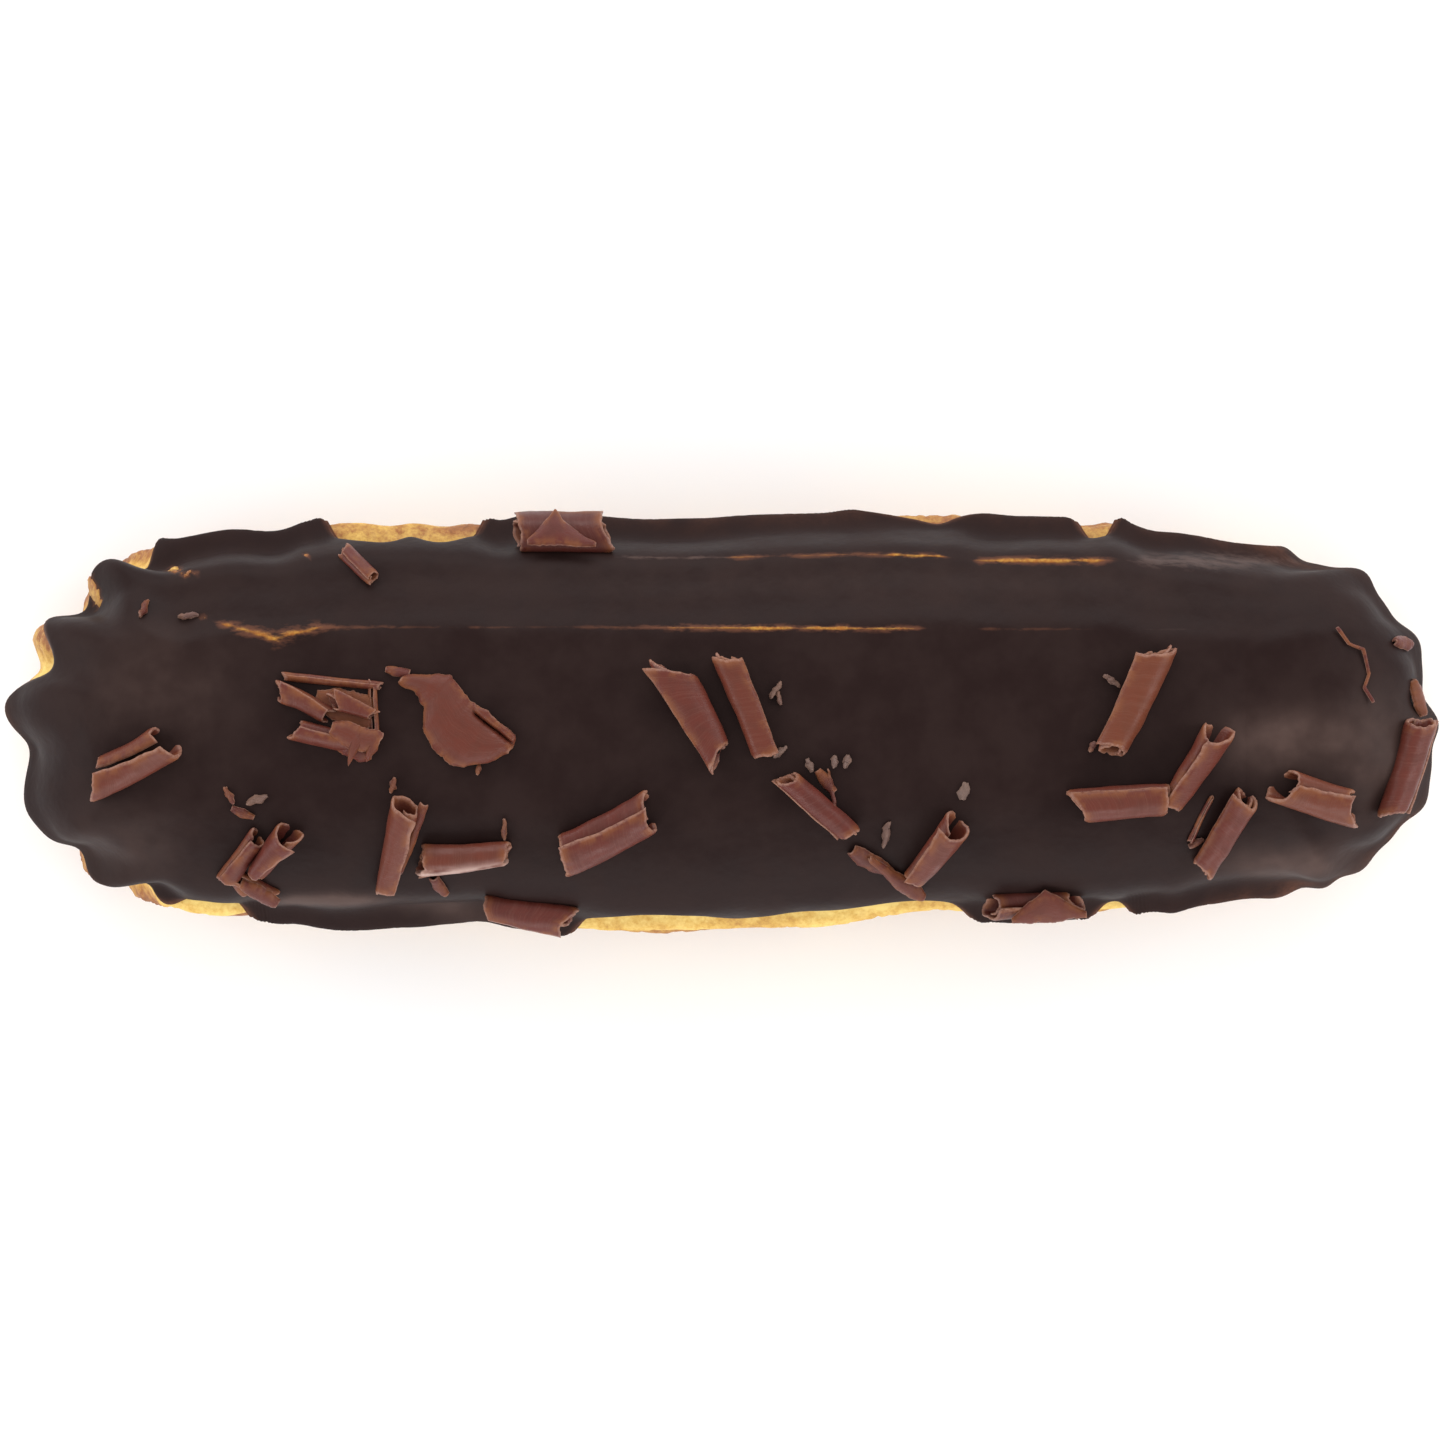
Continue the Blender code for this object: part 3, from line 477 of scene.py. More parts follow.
@dataclass
class Stations:
    """Places round the plan outline, one a row: point on the spine, outward direction and radius."""

    x: np.ndarray
    y: np.ndarray
    out_x: np.ndarray
    out_y: np.ndarray
    radius: np.ndarray

    def edge(self):
        return self.x + self.out_x * self.radius, self.y + self.out_y * self.radius

    def points(self, reach, z):
        """Points that far out from the spine, at that height."""
        return stacked(self.x + self.out_x * reach, self.y + self.out_y * reach, z)

    def x_at(self, drop):
        """How far along the body the surface lies at a drop angle."""
        return self.x + self.out_x * self.radius * np.sin(np.radians(np.minimum(drop, 90.0)))


def smoothstep(value, low, high):
    """0 below low, 1 above high, and smooth between them."""
    share = np.clip((value - low) / (high - low), 0.0, 1.0)
    return share * share * (3.0 - 2.0 * share)


def mix(a, b, share):
    return a + (b - a) * share


def stacked(x, y, z):
    """Points from their coordinates, which may be grids, rows, columns or single numbers."""
    return np.stack(np.broadcast_arrays(x, y, z), axis=-1)


def noise_at(points, size, octaves=2):
    """Smooth noise of about -1 to 1 at each point, with bumps of that size."""
    flat = (np.asarray(points).reshape(-1, 3) / size).tolist()
    values = [noise.fractal(p, 1.0, 2.0, octaves) for p in flat]
    return np.array(values).reshape(np.shape(points)[:-1])


def bumps_at(points, bumps, octaves=2):
    """Noise at each point, with bumps given by their height and size."""
    return bumps[0] * noise_at(points, bumps[1], octaves)


def cells_at(points, size):
    """Distances to the two nearest of scattered cell centres, in cells, at each point."""
    flat = (points.reshape(-1, 3) / size).tolist()
    found = np.array([noise.voronoi(p)[0][:2] for p in flat])
    return found[:, 0].reshape(points.shape[:-1]), found[:, 1].reshape(points.shape[:-1])


def distance_from(x, y, middle_x, middle_y, reach, reach_y=None):
    """How far places are from the middle of a spot, as a share of its reach. The spot is given in mm."""
    return np.hypot((x / MM - middle_x) / reach, (y / MM - middle_y) / (reach_y or reach))


def nearness(x, y, spot, power=2):
    """1 in the middle of a spot, and falling off smoothly round it."""
    return np.exp(-(distance_from(x, y, *spot) ** power))


# The body's shape


def outline_stations():
    """Stations all round the plan outline, counter-clockwise seen from above, from the -Y side's start."""
    side_columns = round((SPINE_FINISH - SPINE_START) / COLUMN_SPACING)
    along = np.linspace(SPINE_START, SPINE_FINISH, side_columns, endpoint=False)
    back = np.linspace(SPINE_FINISH, SPINE_START, side_columns, endpoint=False)
    turn = np.linspace(0.0, math.pi, END_COLUMNS, endpoint=False)
    at_finish, at_start = np.full(END_COLUMNS, SPINE_FINISH), np.full(END_COLUMNS, SPINE_START)
    x = np.concatenate((along, at_finish, back, at_start))
    quarter = math.pi / 2.0
    straight = np.full(side_columns, quarter)
    angle = np.concatenate((-straight, turn - quarter, straight, turn + quarter))
    y, radius = np.full(x.shape, SPINE[0, 1]), np.full(x.shape, SPINE[0, 2])
    for (x0, _, _), (x1, y1, radius1) in zip(SPINE, SPINE[1:]):
        share = smoothstep(x, x0, x1)
        y, radius = mix(y, y1, share), mix(radius, radius1, share)
    at = Stations(x, y, np.cos(angle), np.sin(angle), radius)
    edge = at.edge()
    for *spot, change in OUTLINE_CHANGES:
        at.radius = at.radius + change * MM * nearness(*edge, spot)
    return Stations(*(value[:, None] for value in (at.x, at.y, at.out_x, at.out_y, at.radius)))


def section(at, drop):
    """Distance from the spine and height of the plain body, without ridges, at drop angles in degrees."""
    end_share = (np.abs(at.x) / SPINE_FINISH) ** END_DROP_POWER
    top = mix(BODY_HEIGHT, END_HEIGHT, end_share)
    reach = np.sin(np.radians(np.minimum(drop, 90.0)))
    rise = np.maximum(0.0, 1.0 - reach**DOME_POWER) ** (1.0 / DOME_POWER)
    turn = np.radians(90.0 * (np.maximum(drop, 90.0) - 90.0) / (BASE_ANGLE - 90.0))
    low_reach = BASE_RATIO + (1.0 - BASE_RATIO) * np.cos(turn)
    above = drop <= 90.0
    r = at.radius * np.where(above, reach, low_reach)
    z = np.where(above, WIDEST_HEIGHT + (top - WIDEST_HEIGHT) * rise, WIDEST_HEIGHT * (1.0 - np.sin(turn)))
    return r, z


def surface_points(at, drop, offset):
    """Points that lie offset outside the plain body."""
    step = 0.5
    r0, z0 = section(at, np.maximum(0.0, drop - step))
    r1, z1 = section(at, np.minimum(BASE_ANGLE, drop + step))
    length = np.hypot(r1 - r0, z1 - z0)
    r, z = section(at, drop)
    at_top = drop <= 0.0
    r = r - np.where(at_top, 0.0, (z1 - z0) / length) * offset
    z = z + np.where(at_top, 1.0, (r1 - r0) / length) * offset
    return at.points(r, z)


def rows_down_to(at, last, shares):
    """Drop angles of rows at these shares of the way down the section, from the top to the angle last."""
    drops = np.linspace(0.0, BASE_ANGLE, ARC_SAMPLES)
    r, z = section(at, drops[None, :])
    steps = np.hypot(np.diff(r, axis=1), np.diff(z, axis=1))
    arcs = np.concatenate((np.zeros((len(r), 1)), np.cumsum(steps, axis=1)), axis=1)
    rows, lengths = [], []
    for arc, end in zip(arcs, np.broadcast_to(last, (len(r), 1))[:, 0]):
        length = np.interp(end, drops, arc)
        rows.append(np.interp(shares(length), arc, drops))
        lengths.append(length)
    return np.array(rows), np.array(lengths)[:, None]


def start_share(at, drop):
    """How far a place lies into the end where the piping started."""
    return smoothstep(-at.x_at(drop), -SPINE_START, -SPINE_START + RIDGE_CHANGE_LENGTH)


def ridge_angle(at, drop):
    """The angle that is constant along a ridge: ridges run along the body and straight over its ends."""
    lateral = at.out_y
    upper = np.degrees(np.arcsin(np.sin(np.radians(np.minimum(drop, 90.0))) * lateral))
    angle = upper + (np.maximum(drop, 90.0) - 90.0) * lateral * np.abs(lateral)
    splay = mix(*START_SPLAY, smoothstep(-angle, *START_SPLAY_ANGLES))
    return angle - start_share(at, drop) * splay


def ridge_height(at, drop):
    """The ridges stand tall where piping started and sink where it finished."""
    x = at.x_at(drop)
    half = 0.5 * RIDGE_CHANGE_LENGTH
    start = smoothstep(-x, -SPINE_START - RIDGE_CHANGE_LENGTH, -SPINE_START + half)
    finish = smoothstep(x, SPINE_FINISH - RIDGE_CHANGE_LENGTH, SPINE_FINISH + half)
    return mix(mix(RIDGE_HEIGHT, START_RIDGE_HEIGHT, start), FINISH_RIDGE_HEIGHT, finish)


def ridge_wave(at, drop):
    """1 on a ridge's crest and -1 in the flute beside it. Crests are narrow except where piping started."""
    wave = np.cos(np.radians(ridge_angle(at, drop) * NOZZLE_TEETH))
    sharpness = mix(*CREST_SHARPNESS, start_share(at, drop))
    return 2.0 * (0.5 + 0.5 * wave) ** sharpness - 1.0


def choux_level(at, drop):
    """How high the choux stands above the plain body: uneven ridges that fade out at the flat base."""
    fade = 1.0 - smoothstep(drop, BASE_FADE_ANGLE, BASE_ANGLE)
    angle = ridge_angle(at, drop)
    along = at.x_at(drop) / MM
    wobble = sum(np.sin(a * along + b * angle + shift) for a, b, shift in UNEVEN_WAVES)
    return fade * (ridge_height(at, drop) * ridge_wave(at, drop) + UNEVENNESS * wobble)


def crust_relief(at, drop):
    """The fine relief of the baked crust: lumps, wrinkles along the ridges, pores and cracks in places."""
    places = surface_points(at, drop, 0.0)
    lumps = bumps_at(places, LUMP)
    wrinkles = bumps_at(places / np.array((WRINKLE_STRETCH, 1.0, 1.0)), WRINKLE, 3)
    nearest, _ = cells_at(places, PORE[1])
    pores = -PORE[0] * (1.0 - smoothstep(nearest, *PORE_EDGES))
    first, second = cells_at(places + bumps_at(places, CRACK_WARP)[..., None], CRACK_CELL)
    cracks = -CRACK_DEPTH * (1.0 - smoothstep(second - first, 0.0, CRACK_WIDTH))
    patchy = smoothstep(noise_at(places + CRACK_PATCH_SHIFT, CRACK_PATCH), *CRACK_PATCH_LEVELS)
    return lumps + wrinkles + pores + cracks * patchy


# The icing's shape


def rim_angles(at):
    """The drop angle at which the icing ends, at each station."""
    edge_x, edge_y = at.edge()
    angle = np.full(edge_x.shape, RIM_ANGLE)
    for *spot, change in RIM_RUNS:
        angle = angle + change * nearness(edge_x, edge_y, spot, RIM_SHARPNESS)
    for wander in RIM_WANDER:
        angle = angle + bumps_at(stacked(edge_x, edge_y, 0.0), wander)
    for _ in range(RIM_SMOOTHING):
        angle = 0.5 * angle + 0.25 * (np.roll(angle, 1, axis=0) + np.roll(angle, -1, axis=0))
    return np.minimum(angle, 90.0) + DRIP_SHARE * np.maximum(angle - 90.0, 0.0)


def icing_level(at, drop, rim):
    """The height of the icing's outer face. It pools over the top and follows the ridges lower down."""
    base = choux_level(at, drop)
    share = mix(POOL_FILL, FLUTE_FILL, smoothstep(ridge_angle(at, drop), *FLUTE_ANGLES))
    pool_end = mix(POOL_END, POOL_END_AT_START, start_share(at, drop))
    share = share * (1.0 - smoothstep(drop, pool_end, POOL_LIMIT))
    thickness = mix(TOP_THICKNESS, SIDE_THICKNESS, smoothstep(drop, *THINNING_ANGLES))
    bead = BEAD_THICKNESS * smoothstep(drop, rim - BEAD_ANGLES[0], rim - BEAD_ANGLES[1])
    return base + (ridge_height(at, drop) - base) * share + GAP + thickness + bead


def bare_field(at, drop):
    """Above 0 where the choux shows through the icing, and falling off beside such places."""
    places = surface_points(at, drop, 0.0)
    x = places[..., 0] + bumps_at(places, SPOT_WARP)
    y = places[..., 1] + bumps_at(places + SPOT_WARP_SHIFT, SPOT_WARP)
    field = np.full(x.shape, NO_SPOT)
    for spot in BARE_SPOTS:
        field = np.maximum(field, 1.0 - distance_from(x, y, *spot) ** 2)
    return field


def painted_highlight_field(at, drop):
    """0 to about 1 where pale highlights and reflections are painted on the icing."""
    places = surface_points(at, drop, 0.0)
    field = sum(strength * nearness(places[..., 0], places[..., 1], spot) for *spot, strength in PAINTED_HIGHLIGHTS)
    return np.clip(field * (1.0 + 0.4 * noise_at(places, PAINTED_HIGHLIGHT_PATCH, 3)), 0.0, 1.5)


def edge_tint(at, drop):
    """0 to 1 where the icing is so thin along the widest line that it looks reddish brown."""
    shares = [strength * nearness(*at.edge(), spot) for *spot, strength in EDGE_TINTS]
    band = np.exp(-(((drop - TINT_BAND[0]) / TINT_BAND[1]) ** 2))
    patches = noise_at(surface_points(at, drop, 0.0), TINT_PATCH, 3)
    return band * np.maximum.reduce(shares) * np.clip(0.7 + 0.8 * patches, 0.0, 1.0)


# Meshes


def grid_faces(rows, columns, wrap=False, flip=False):
    """Quads over points numbered row by row. The last row joins the first where it wraps."""
    i = np.arange(rows if wrap else rows - 1)[:, None]
    j = np.arange(columns - 1)[None, :]
    after = (i + 1) % rows
    corners = (i * columns + j, i * columns + j + 1, after * columns + j + 1, after * columns + j)
    quads = np.stack(corners, axis=-1).reshape(-1, 4)
    return quads[:, ::-1] if flip else quads


def add_object(name, data):
    made = bpy.data.objects.new(name, data)
    bpy.context.scene.collection.objects.link(made)
    return made


def add_piece(name, points, faces, material, node, attributes):
    """A smooth-shaded piece that rides on the body, stands for a node and carries values at its points."""
    mesh = bpy.data.meshes.new(name)
    mesh.from_pydata(points.reshape(-1, 3), [], faces)
    for key, values in attributes.items():
        kind = "FLOAT" if values.ndim == 1 else "FLOAT_VECTOR"
        layer = mesh.attributes.new(key, kind, "POINT")
        layer.data.foreach_set("value" if kind == "FLOAT" else "vector", values.astype(np.float32).ravel())
    welded = bmesh.new()
    welded.from_mesh(mesh)
    bmesh.ops.remove_doubles(welded, verts=welded.verts, dist=WELD_DISTANCE)
    welded.to_mesh(mesh)
    welded.free()
    mesh.shade_smooth()
    mesh.materials.append(material)
    made = add_object(name, mesh)
    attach(made, "root")
    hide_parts(node)
    return made


def extended(values, columns, fill=0.0):
    """Values over a grid, with the same value in each of the columns that follow it, as one list."""
    return np.concatenate((values, np.full((len(values), columns), fill)), axis=1).ravel()


def add_choux(at, rim, material):
    """The baked body, with its fine crust, the crests that break through the icing, and its flat base."""
    drop, _ = rows_down_to(at, BASE_ANGLE, lambda length: np.linspace(0.0, length, CHOUX_ROWS))
    fade = 1.0 - smoothstep(drop, CRUST_FADE_ANGLE, BASE_ANGLE)
    plain = choux_level(at, drop)
    field = bare_field(at, drop)
    bare_level = icing_level(at, drop, rim) + BARE_RISE * field
    lifted = mix(plain, bare_level, smoothstep(field, *LIFT_LEVELS))
    covered = drop < rim
    level = np.where(covered, np.maximum(plain, lifted), plain)
    relief = crust_relief(at, drop) * smoothstep(drop, rim + COVERED_CRUST[0], rim + COVERED_CRUST[1])
    side = surface_points(at, drop, level + fade * relief)
    shares = np.linspace(1.0, 0.0, BASE_ROWS + 1)[None, 1:]
    reach = BASE_RATIO * at.radius * shares
    flat = at.points(reach, 0.0)
    flat[..., 2] = np.abs(bumps_at(flat, BASE_BUMP)) * (1.0 - shares**6)
    # Paler toward -Y and darker toward +Y: painted light and shade
    tone = mix(*PAINTED_SIDE_LIGHT_TONES, smoothstep(side[..., 1], -SIDE_REACH, SIDE_REACH))
    tone = mix(tone, FLANK_TONE, smoothstep(drop, *FLANK_ANGLES))
    tone = mix(tone, BASE_TONE, smoothstep(drop, BASE_TONE_ANGLE, BASE_ANGLE))
    marked = covered * mix(1.0, LEAST_MARKED, smoothstep(field, *BARE_LEVELS))
    points = np.concatenate((side, flat), axis=1)
    values = {
        "crest": extended(ridge_wave(at, drop) * fade, BASE_ROWS, BASE_CREST),
        "tone": extended(tone, BASE_ROWS, BASE_TONE),
        "relief": extended(relief / CRACK_DEPTH, BASE_ROWS),
        "bare": extended(marked, BASE_ROWS),
    }
    faces = grid_faces(*points.shape[:2], wrap=True)
    return add_piece("choux_crust", points, faces, material, "choux_body", values)


def icing_shares(length):
    """Distances from the top for the icing's rows, closer together round the rim."""
    turn = np.linspace(0.0, 0.5 * math.pi, RIM_ROWS + 1)[1:]
    return np.concatenate((
        np.linspace(0.0, length - RIM_WIDTH, ICING_ROWS),
        length - RIM_WIDTH * (1.0 - np.sin(turn)),
    ))


def distance_to_rim(arc, length):
    """How far each point is from the nearest edge of the icing, down the section or round the outline."""
    nearest = length - arc
    for k in range(1, round(RIM_SEARCH / COLUMN_SPACING) + 1):
        for step in (-k, k):
            below = np.maximum(0.0, np.roll(length, step, axis=0) - arc)
            nearest = np.minimum(nearest, np.hypot(k * COLUMN_SPACING, below))
    return nearest


def add_icing(at, rim, material):
    """The poured icing: smooth on top, rounded at its rim, thin round the bare spots."""
    drop, length = rows_down_to(at, rim, icing_shares)
    arc = np.array([icing_shares(v) for v in length[:, 0]])
    at_rim = 1.0 - smoothstep(length - arc, 0.0, SHARP_RIM)
    from_rim = np.minimum(1.0, distance_to_rim(arc, length) / RIM_WIDTH) * (1.0 - at_rim)
    rounding = np.sqrt(np.maximum(0.0, 1.0 - (1.0 - from_rim) ** 2))
    places = surface_points(at, drop, 0.0)
    swell = sum(bumps_at(places, bumps) for bumps in ICING_SWELL)
    field = bare_field(at, drop)
    level = icing_level(at, drop, rim) + swell - BARE_DIP * smoothstep(field, *DIP_LEVELS)
    outer = surface_points(at, drop, mix(choux_level(at, drop) - RIM_BURIED, level, rounding))
    inner_drop = rim * np.linspace(1.0, 0.0, INNER_ROWS)[None, :]
    inner = surface_points(at, inner_drop, np.full(inner_drop.shape, -INNER_DEPTH))
    points = np.concatenate((outer, inner), axis=1)
    thin = np.maximum(smoothstep(field, *THIN_LEVELS), 1.0 - smoothstep(from_rim, *THIN_RIM))
    values = {
        "thin": extended(np.maximum(thin, edge_tint(at, drop)), INNER_ROWS),
        "steep": extended(smoothstep(drop, *STEEP_ANGLES), INNER_ROWS),
        # Where highlights and reflections are painted on the icing
        "painted_highlight": extended(painted_highlight_field(at, drop), INNER_ROWS),
    }
    faces = grid_faces(*points.shape[:2], wrap=True)
    return add_piece("icing_skin", points, faces, material, "chocolate_icing", values)


# The curls


def grid_normals(grid):
    along_i = np.gradient(grid, axis=0)
    along_j = np.gradient(grid, axis=1)
    normals = np.cross(along_i, along_j)
    return normals / np.maximum(np.linalg.norm(normals, axis=-1, keepdims=True), 1e-12)


def edge_distance(grid):
    """How far each point of a sheet is from its nearest edge, measured along the sheet."""
    def run(axis):
        steps = np.linalg.norm(np.diff(grid, axis=axis), axis=-1)
        zero = np.zeros_like(np.take(steps, [0], axis=axis))
        from_start = np.concatenate((zero, np.cumsum(steps, axis=axis)), axis=axis)
        whole = np.take(from_start, [-1], axis=axis)
        return np.minimum(from_start, whole - from_start)
    return np.minimum(run(0), run(1))


def grid_shares(rows, columns):
    """Shares from 0 to 1 down the rows of a grid, as a column, and across it, as a row."""
    return np.linspace(0.0, 1.0, rows)[:, None], np.linspace(0.0, 1.0, columns)[None, :]


def sheet_solid(grid, thickness, tint, pale=0.0):
    """A closed sheet round a grid of middle points: points, faces and shading values."""
    rows, columns = grid.shape[:2]
    inward = edge_distance(grid)
    share = mix(1.0 - EDGE_THINNING, 1.0, smoothstep(inward, 0.0, EDGE_WIDTH))
    half = 0.5 * thickness * share * (1.0 + bumps_at(grid, SHEET_UNEVENNESS))
    normals = grid_normals(grid) * half[..., None]
    points = np.concatenate((grid + normals, grid - normals)).reshape(-1, 3)
    count = rows * columns
    top, bottom = grid_faces(rows, columns), grid_faces(rows, columns, flip=True) + count
    number = np.arange(count).reshape(rows, columns)
    loop = np.concatenate((number[0], number[1:, -1], number[-1, -2::-1], number[-2:0:-1, 0]))
    after = np.roll(loop, -1)
    border = np.stack((after, loop, loop + count, after + count), axis=-1)
    values = {
        "edge": 1.0 - smoothstep(inward, 0.0, PALE_EDGE_WIDTH),
        "thin": 1.0 - smoothstep(inward, 0.0, THIN_EDGE_WIDTH),
        "tint": np.full(inward.shape, tint),
        # pale carries a painted highlight: the sheen on the rolls and the pale grey on the crumbs
        "pale": np.broadcast_to(pale, inward.shape),
    }
    both = {key: np.tile(value.ravel(), 2) for key, value in values.items()}
    both["grain"] = np.tile(stacked(*grid_shares(rows, columns), tint).reshape(-1, 3), (2, 1))
    return points, np.concatenate((top, bottom, border)), both


def ragged_end(around, place):
    """How far a torn end strays along the piece, from long slants down to small chips."""
    line = stacked(around, 0.0, 0.0) + place
    return sum(bumps_at(line, bumps) for bumps in END_RAGGEDNESS)


def noise_place(seed, steps):
    """A place that no other piece takes its noise from."""
    return np.array((seed * steps[0], seed * steps[1], steps[2])) * MM


def warped(grid, place, warp=SHEET_WARP):
    """The grid pushed about a little, as handling and cooling leave a curl."""
    return grid + stacked(*(bumps_at(grid + place + shift, warp) for shift in WARP_SHIFTS))


def roll_grid(roll, seed):
    """Middle points of a sheet rolled about local X, with slanted torn ends and a free edge at the seam."""
    chance = np.random.default_rng(seed)
    length, radius, turns = roll.length * MM, roll.radius * MM, abs(roll.turns)
    wind, along = grid_shares(round(ROLL_AROUND * turns), ROLL_ALONG)
    place = noise_place(seed, ROLL_NOISE)
    wander = bumps_at(stacked(along * length, 0.0, 0.0) + place, SEAM_WANDER) * (1.0 - wind) ** 4
    angle = np.radians(roll.seam + 360.0 * roll.turns * wind + roll.twist * (along - 0.5) + wander)
    sheet = min(SHEET, THICKEST_SHARE * radius)
    spiral = radius - 0.5 * sheet - ROLL_PITCH * sheet * turns * wind
    spiral = spiral + mix(*roll.lift, along) * radius * np.exp(-wind * turns / LIFT_DECAY)
    facing = angle - chance.uniform(0.0, math.pi)
    square = np.abs(np.cos(facing)) ** ROLL_SQUARENESS + np.abs(np.sin(facing)) ** ROLL_SQUARENESS
    reach = spiral * mix(1.0, roll.far, along) * square ** (-1.0 / ROLL_SQUARENESS)
    around = 2.0 * math.pi * radius * turns * wind
    topmost = np.maximum(0.0, np.sin(angle))
    ends = []
    for side, slant, cut, shift in zip((-1.0, 1.0), roll.slant, roll.cut, END_NOISE_SHIFTS):
        end = side * (0.5 * length + slant * MM * np.cos(angle) - cut * MM * topmost)
        ends.append(end + ragged_end(around, place + shift))
    bend = chance.uniform(-1.0, 1.0) * ROLL_BEND * radius
    y = reach * np.cos(angle) + bend * (2.0 * along - 1.0) ** 2
    z = roll.flat * reach * np.sin(angle)
    grid = warped(stacked(mix(*ends, along), y, z), place)
    grid[..., 2] -= grid[..., 2].min()
    return grid, sheet


def painted_sheen_at(grid, seed):
    """0 to 1 along the lower side of a roll, broken up: a painted sheen where it catches the light."""
    y, z = grid[..., 1], grid[..., 2]
    share = (2.0 * y - y.min() - y.max()) / np.ptp(y)
    band = np.exp(-(((share - SHEEN_BAND[0]) / SHEEN_BAND[1]) ** 2)) * (z > 0.5 * z.max())
    patches = noise_at(grid * np.array(SHEEN_STRETCH) + seed * MM, SHEEN_PATCH, 3)
    return band * np.clip(0.75 + 1.2 * patches, 0.0, 1.0)


def plate_grid(plate, seed):
    """Middle points of a shard that arches over its heading, with chipped edges and perhaps a folded lip."""
    stations, right, left = np.array(plate.outline).T * MM
    along, across = grid_shares(PLATE_ALONG, PLATE_ACROSS)
    place = noise_place(seed, PLATE_NOISE)
    reach = along * stations[-1]
    low, high = np.interp(reach, stations, right), np.interp(reach, stations, left)
    evenness = np.minimum(1.0, (high - low) / FULL_RAGGEDNESS)
    low = low - evenness * ragged_end(reach, place)
    high = high + evenness * ragged_end(reach, place + SIDE_NOISE_SHIFTS[0])
    y = mix(low, high, across)
    x = reach + evenness * ragged_end(y, place + SIDE_NOISE_SHIFTS[1]) * (2.0 * along - 1.0)
    z = plate.rise * MM * (1.0 - (2.0 * across - 1.0) ** 2)
    if plate.fold:
        fold_y, start, finish = (value * MM for value in plate.fold)
        run = smoothstep(x, start, start + MM) * (1.0 - smoothstep(x, finish, finish + MM))
        z = z - run * FOLD_DEPTH * np.exp(-(((y - fold_y) / FOLD_WIDTH) ** 2))
        z = z + run * FOLD_LIP * smoothstep(y, fold_y, fold_y + FOLD_WIDTH * 2.0)
    return warped(stacked(x, y, z), place)


def crumb_grid(length, width, seed):
    """Middle points of a small broken scrap with a pointed, angular outline."""
    along, across = (2.0 * share - 1.0 for share in grid_shares(CRUMB_STEPS, CRUMB_STEPS))
    chance = np.random.default_rng(seed)
    peak, tail = chance.uniform(-0.5, 0.5), chance.uniform(0.25, 0.6)
    corners = (-1.0, peak - 0.35, peak, 0.9, 1.0)
    high = np.interp(along, corners, (tail * 0.4, 0.7, 1.0, tail, 0.1))
    low = np.interp(-along, corners, (tail * 0.5, 0.6, 1.0, 0.8 * tail, 0.15))
    x, y = 0.5 * length * along, 0.5 * width * np.where(across > 0.0, high, low) * across
    z = CRUMB_RISE * (1.0 - np.abs(across)) * (1.0 - 0.5 * along)
    return warped(stacked(x, y, z), noise_place(seed, CRUMB_NOISE), CRUMB_WARP)


def resting_place(tree, x, y, heading, length, width):
    """The matrix that lays a piece's z = 0 plane on the icing below it, with local X along the heading."""
    ahead = Vector((math.cos(heading), math.sin(heading), 0.0))
    aside = Vector((-ahead.y, ahead.x, 0.0))
    points, normals = [], []
    for along in FOOTING_ALONG:
        for across in FOOTING_ACROSS:
            above = Vector((x, y, 2.0 * BODY_HEIGHT)) + ahead * (along * length) + aside * (across * width)
            point, normal, _, _ = tree.ray_cast(above, Vector((0.0, 0.0, -1.0)))
            if point is not None:
                points.append(point)
                normals.append(normal)
    normal = sum(normals, Vector()).normalized()
    middle = sum(points, Vector()) / len(points)
    highest = max((point - middle).dot(normal) for point in points)
    along = (ahead - normal * ahead.dot(normal)).normalized()
    turn = Matrix((along, normal.cross(along), normal)).transposed().to_4x4()
    return Matrix.Translation(middle + normal * (highest * FOOTING_SHARE)) @ turn


def moved(points, place, sink):
    """Points carried to a resting place and sunk into the icing."""
    matrix = np.array(place @ Matrix.Translation((0.0, 0.0, -sink)))
    return points @ matrix[:3, :3].T + matrix[:3, 3]


def lay_roll(tree, roll, seed):
    """A roll's closed sheet, in its place on the icing."""
    grid, sheet = roll_grid(roll, seed)
    heading, length, radius = math.radians(roll.heading), roll.length * MM, roll.radius * MM
    place = resting_place(tree, roll.x * MM, roll.y * MM, heading, length, radius)
    points, faces, values = sheet_solid(grid, sheet, roll.tint, roll.painted_sheen * painted_sheen_at(grid, seed))
    return moved(points, place, ROLL_SINK * radius - roll.above * MM), faces, values


def lay_plate(tree, plate, seed):
    """A shard's closed sheet, in its place on the icing. Its x and y are those of its outline's start."""
    heading, length = math.radians(plate.heading), plate.outline[-1][0] * MM
    middle_x = plate.x * MM + 0.5 * length * math.cos(heading)
    middle_y = plate.y * MM + 0.5 * length * math.sin(heading)
    place = resting_place(tree, middle_x, middle_y, heading, length, PLATE_FOOTING)
    points, faces, values = sheet_solid(plate_grid(plate, seed), PLATE_THICKNESS * SHEET, plate.tint)
    points[:, 0] -= 0.5 * length
    tipped = place @ Matrix.Rotation(math.radians(plate.tip), 4, "X")
    return moved(points, tipped, -(PLATE_RAISE + plate.above) * MM), faces, values


def lay_crumb(tree, crumb, seed):
    """A crumb's closed sheet, in its place on the icing."""
    x, y, heading, length, width, pale = crumb
    grid = crumb_grid(length * MM, width * MM, seed)
    place = resting_place(tree, x * MM, y * MM, math.radians(heading), length * MM, 0.5 * width * MM)
    points, faces, values = sheet_solid(grid, CRUMB_THICKNESS * SHEET, min(pale, 0.0), max(pale, 0.0))
    return moved(points, place, -CRUMB_RAISE), faces, values


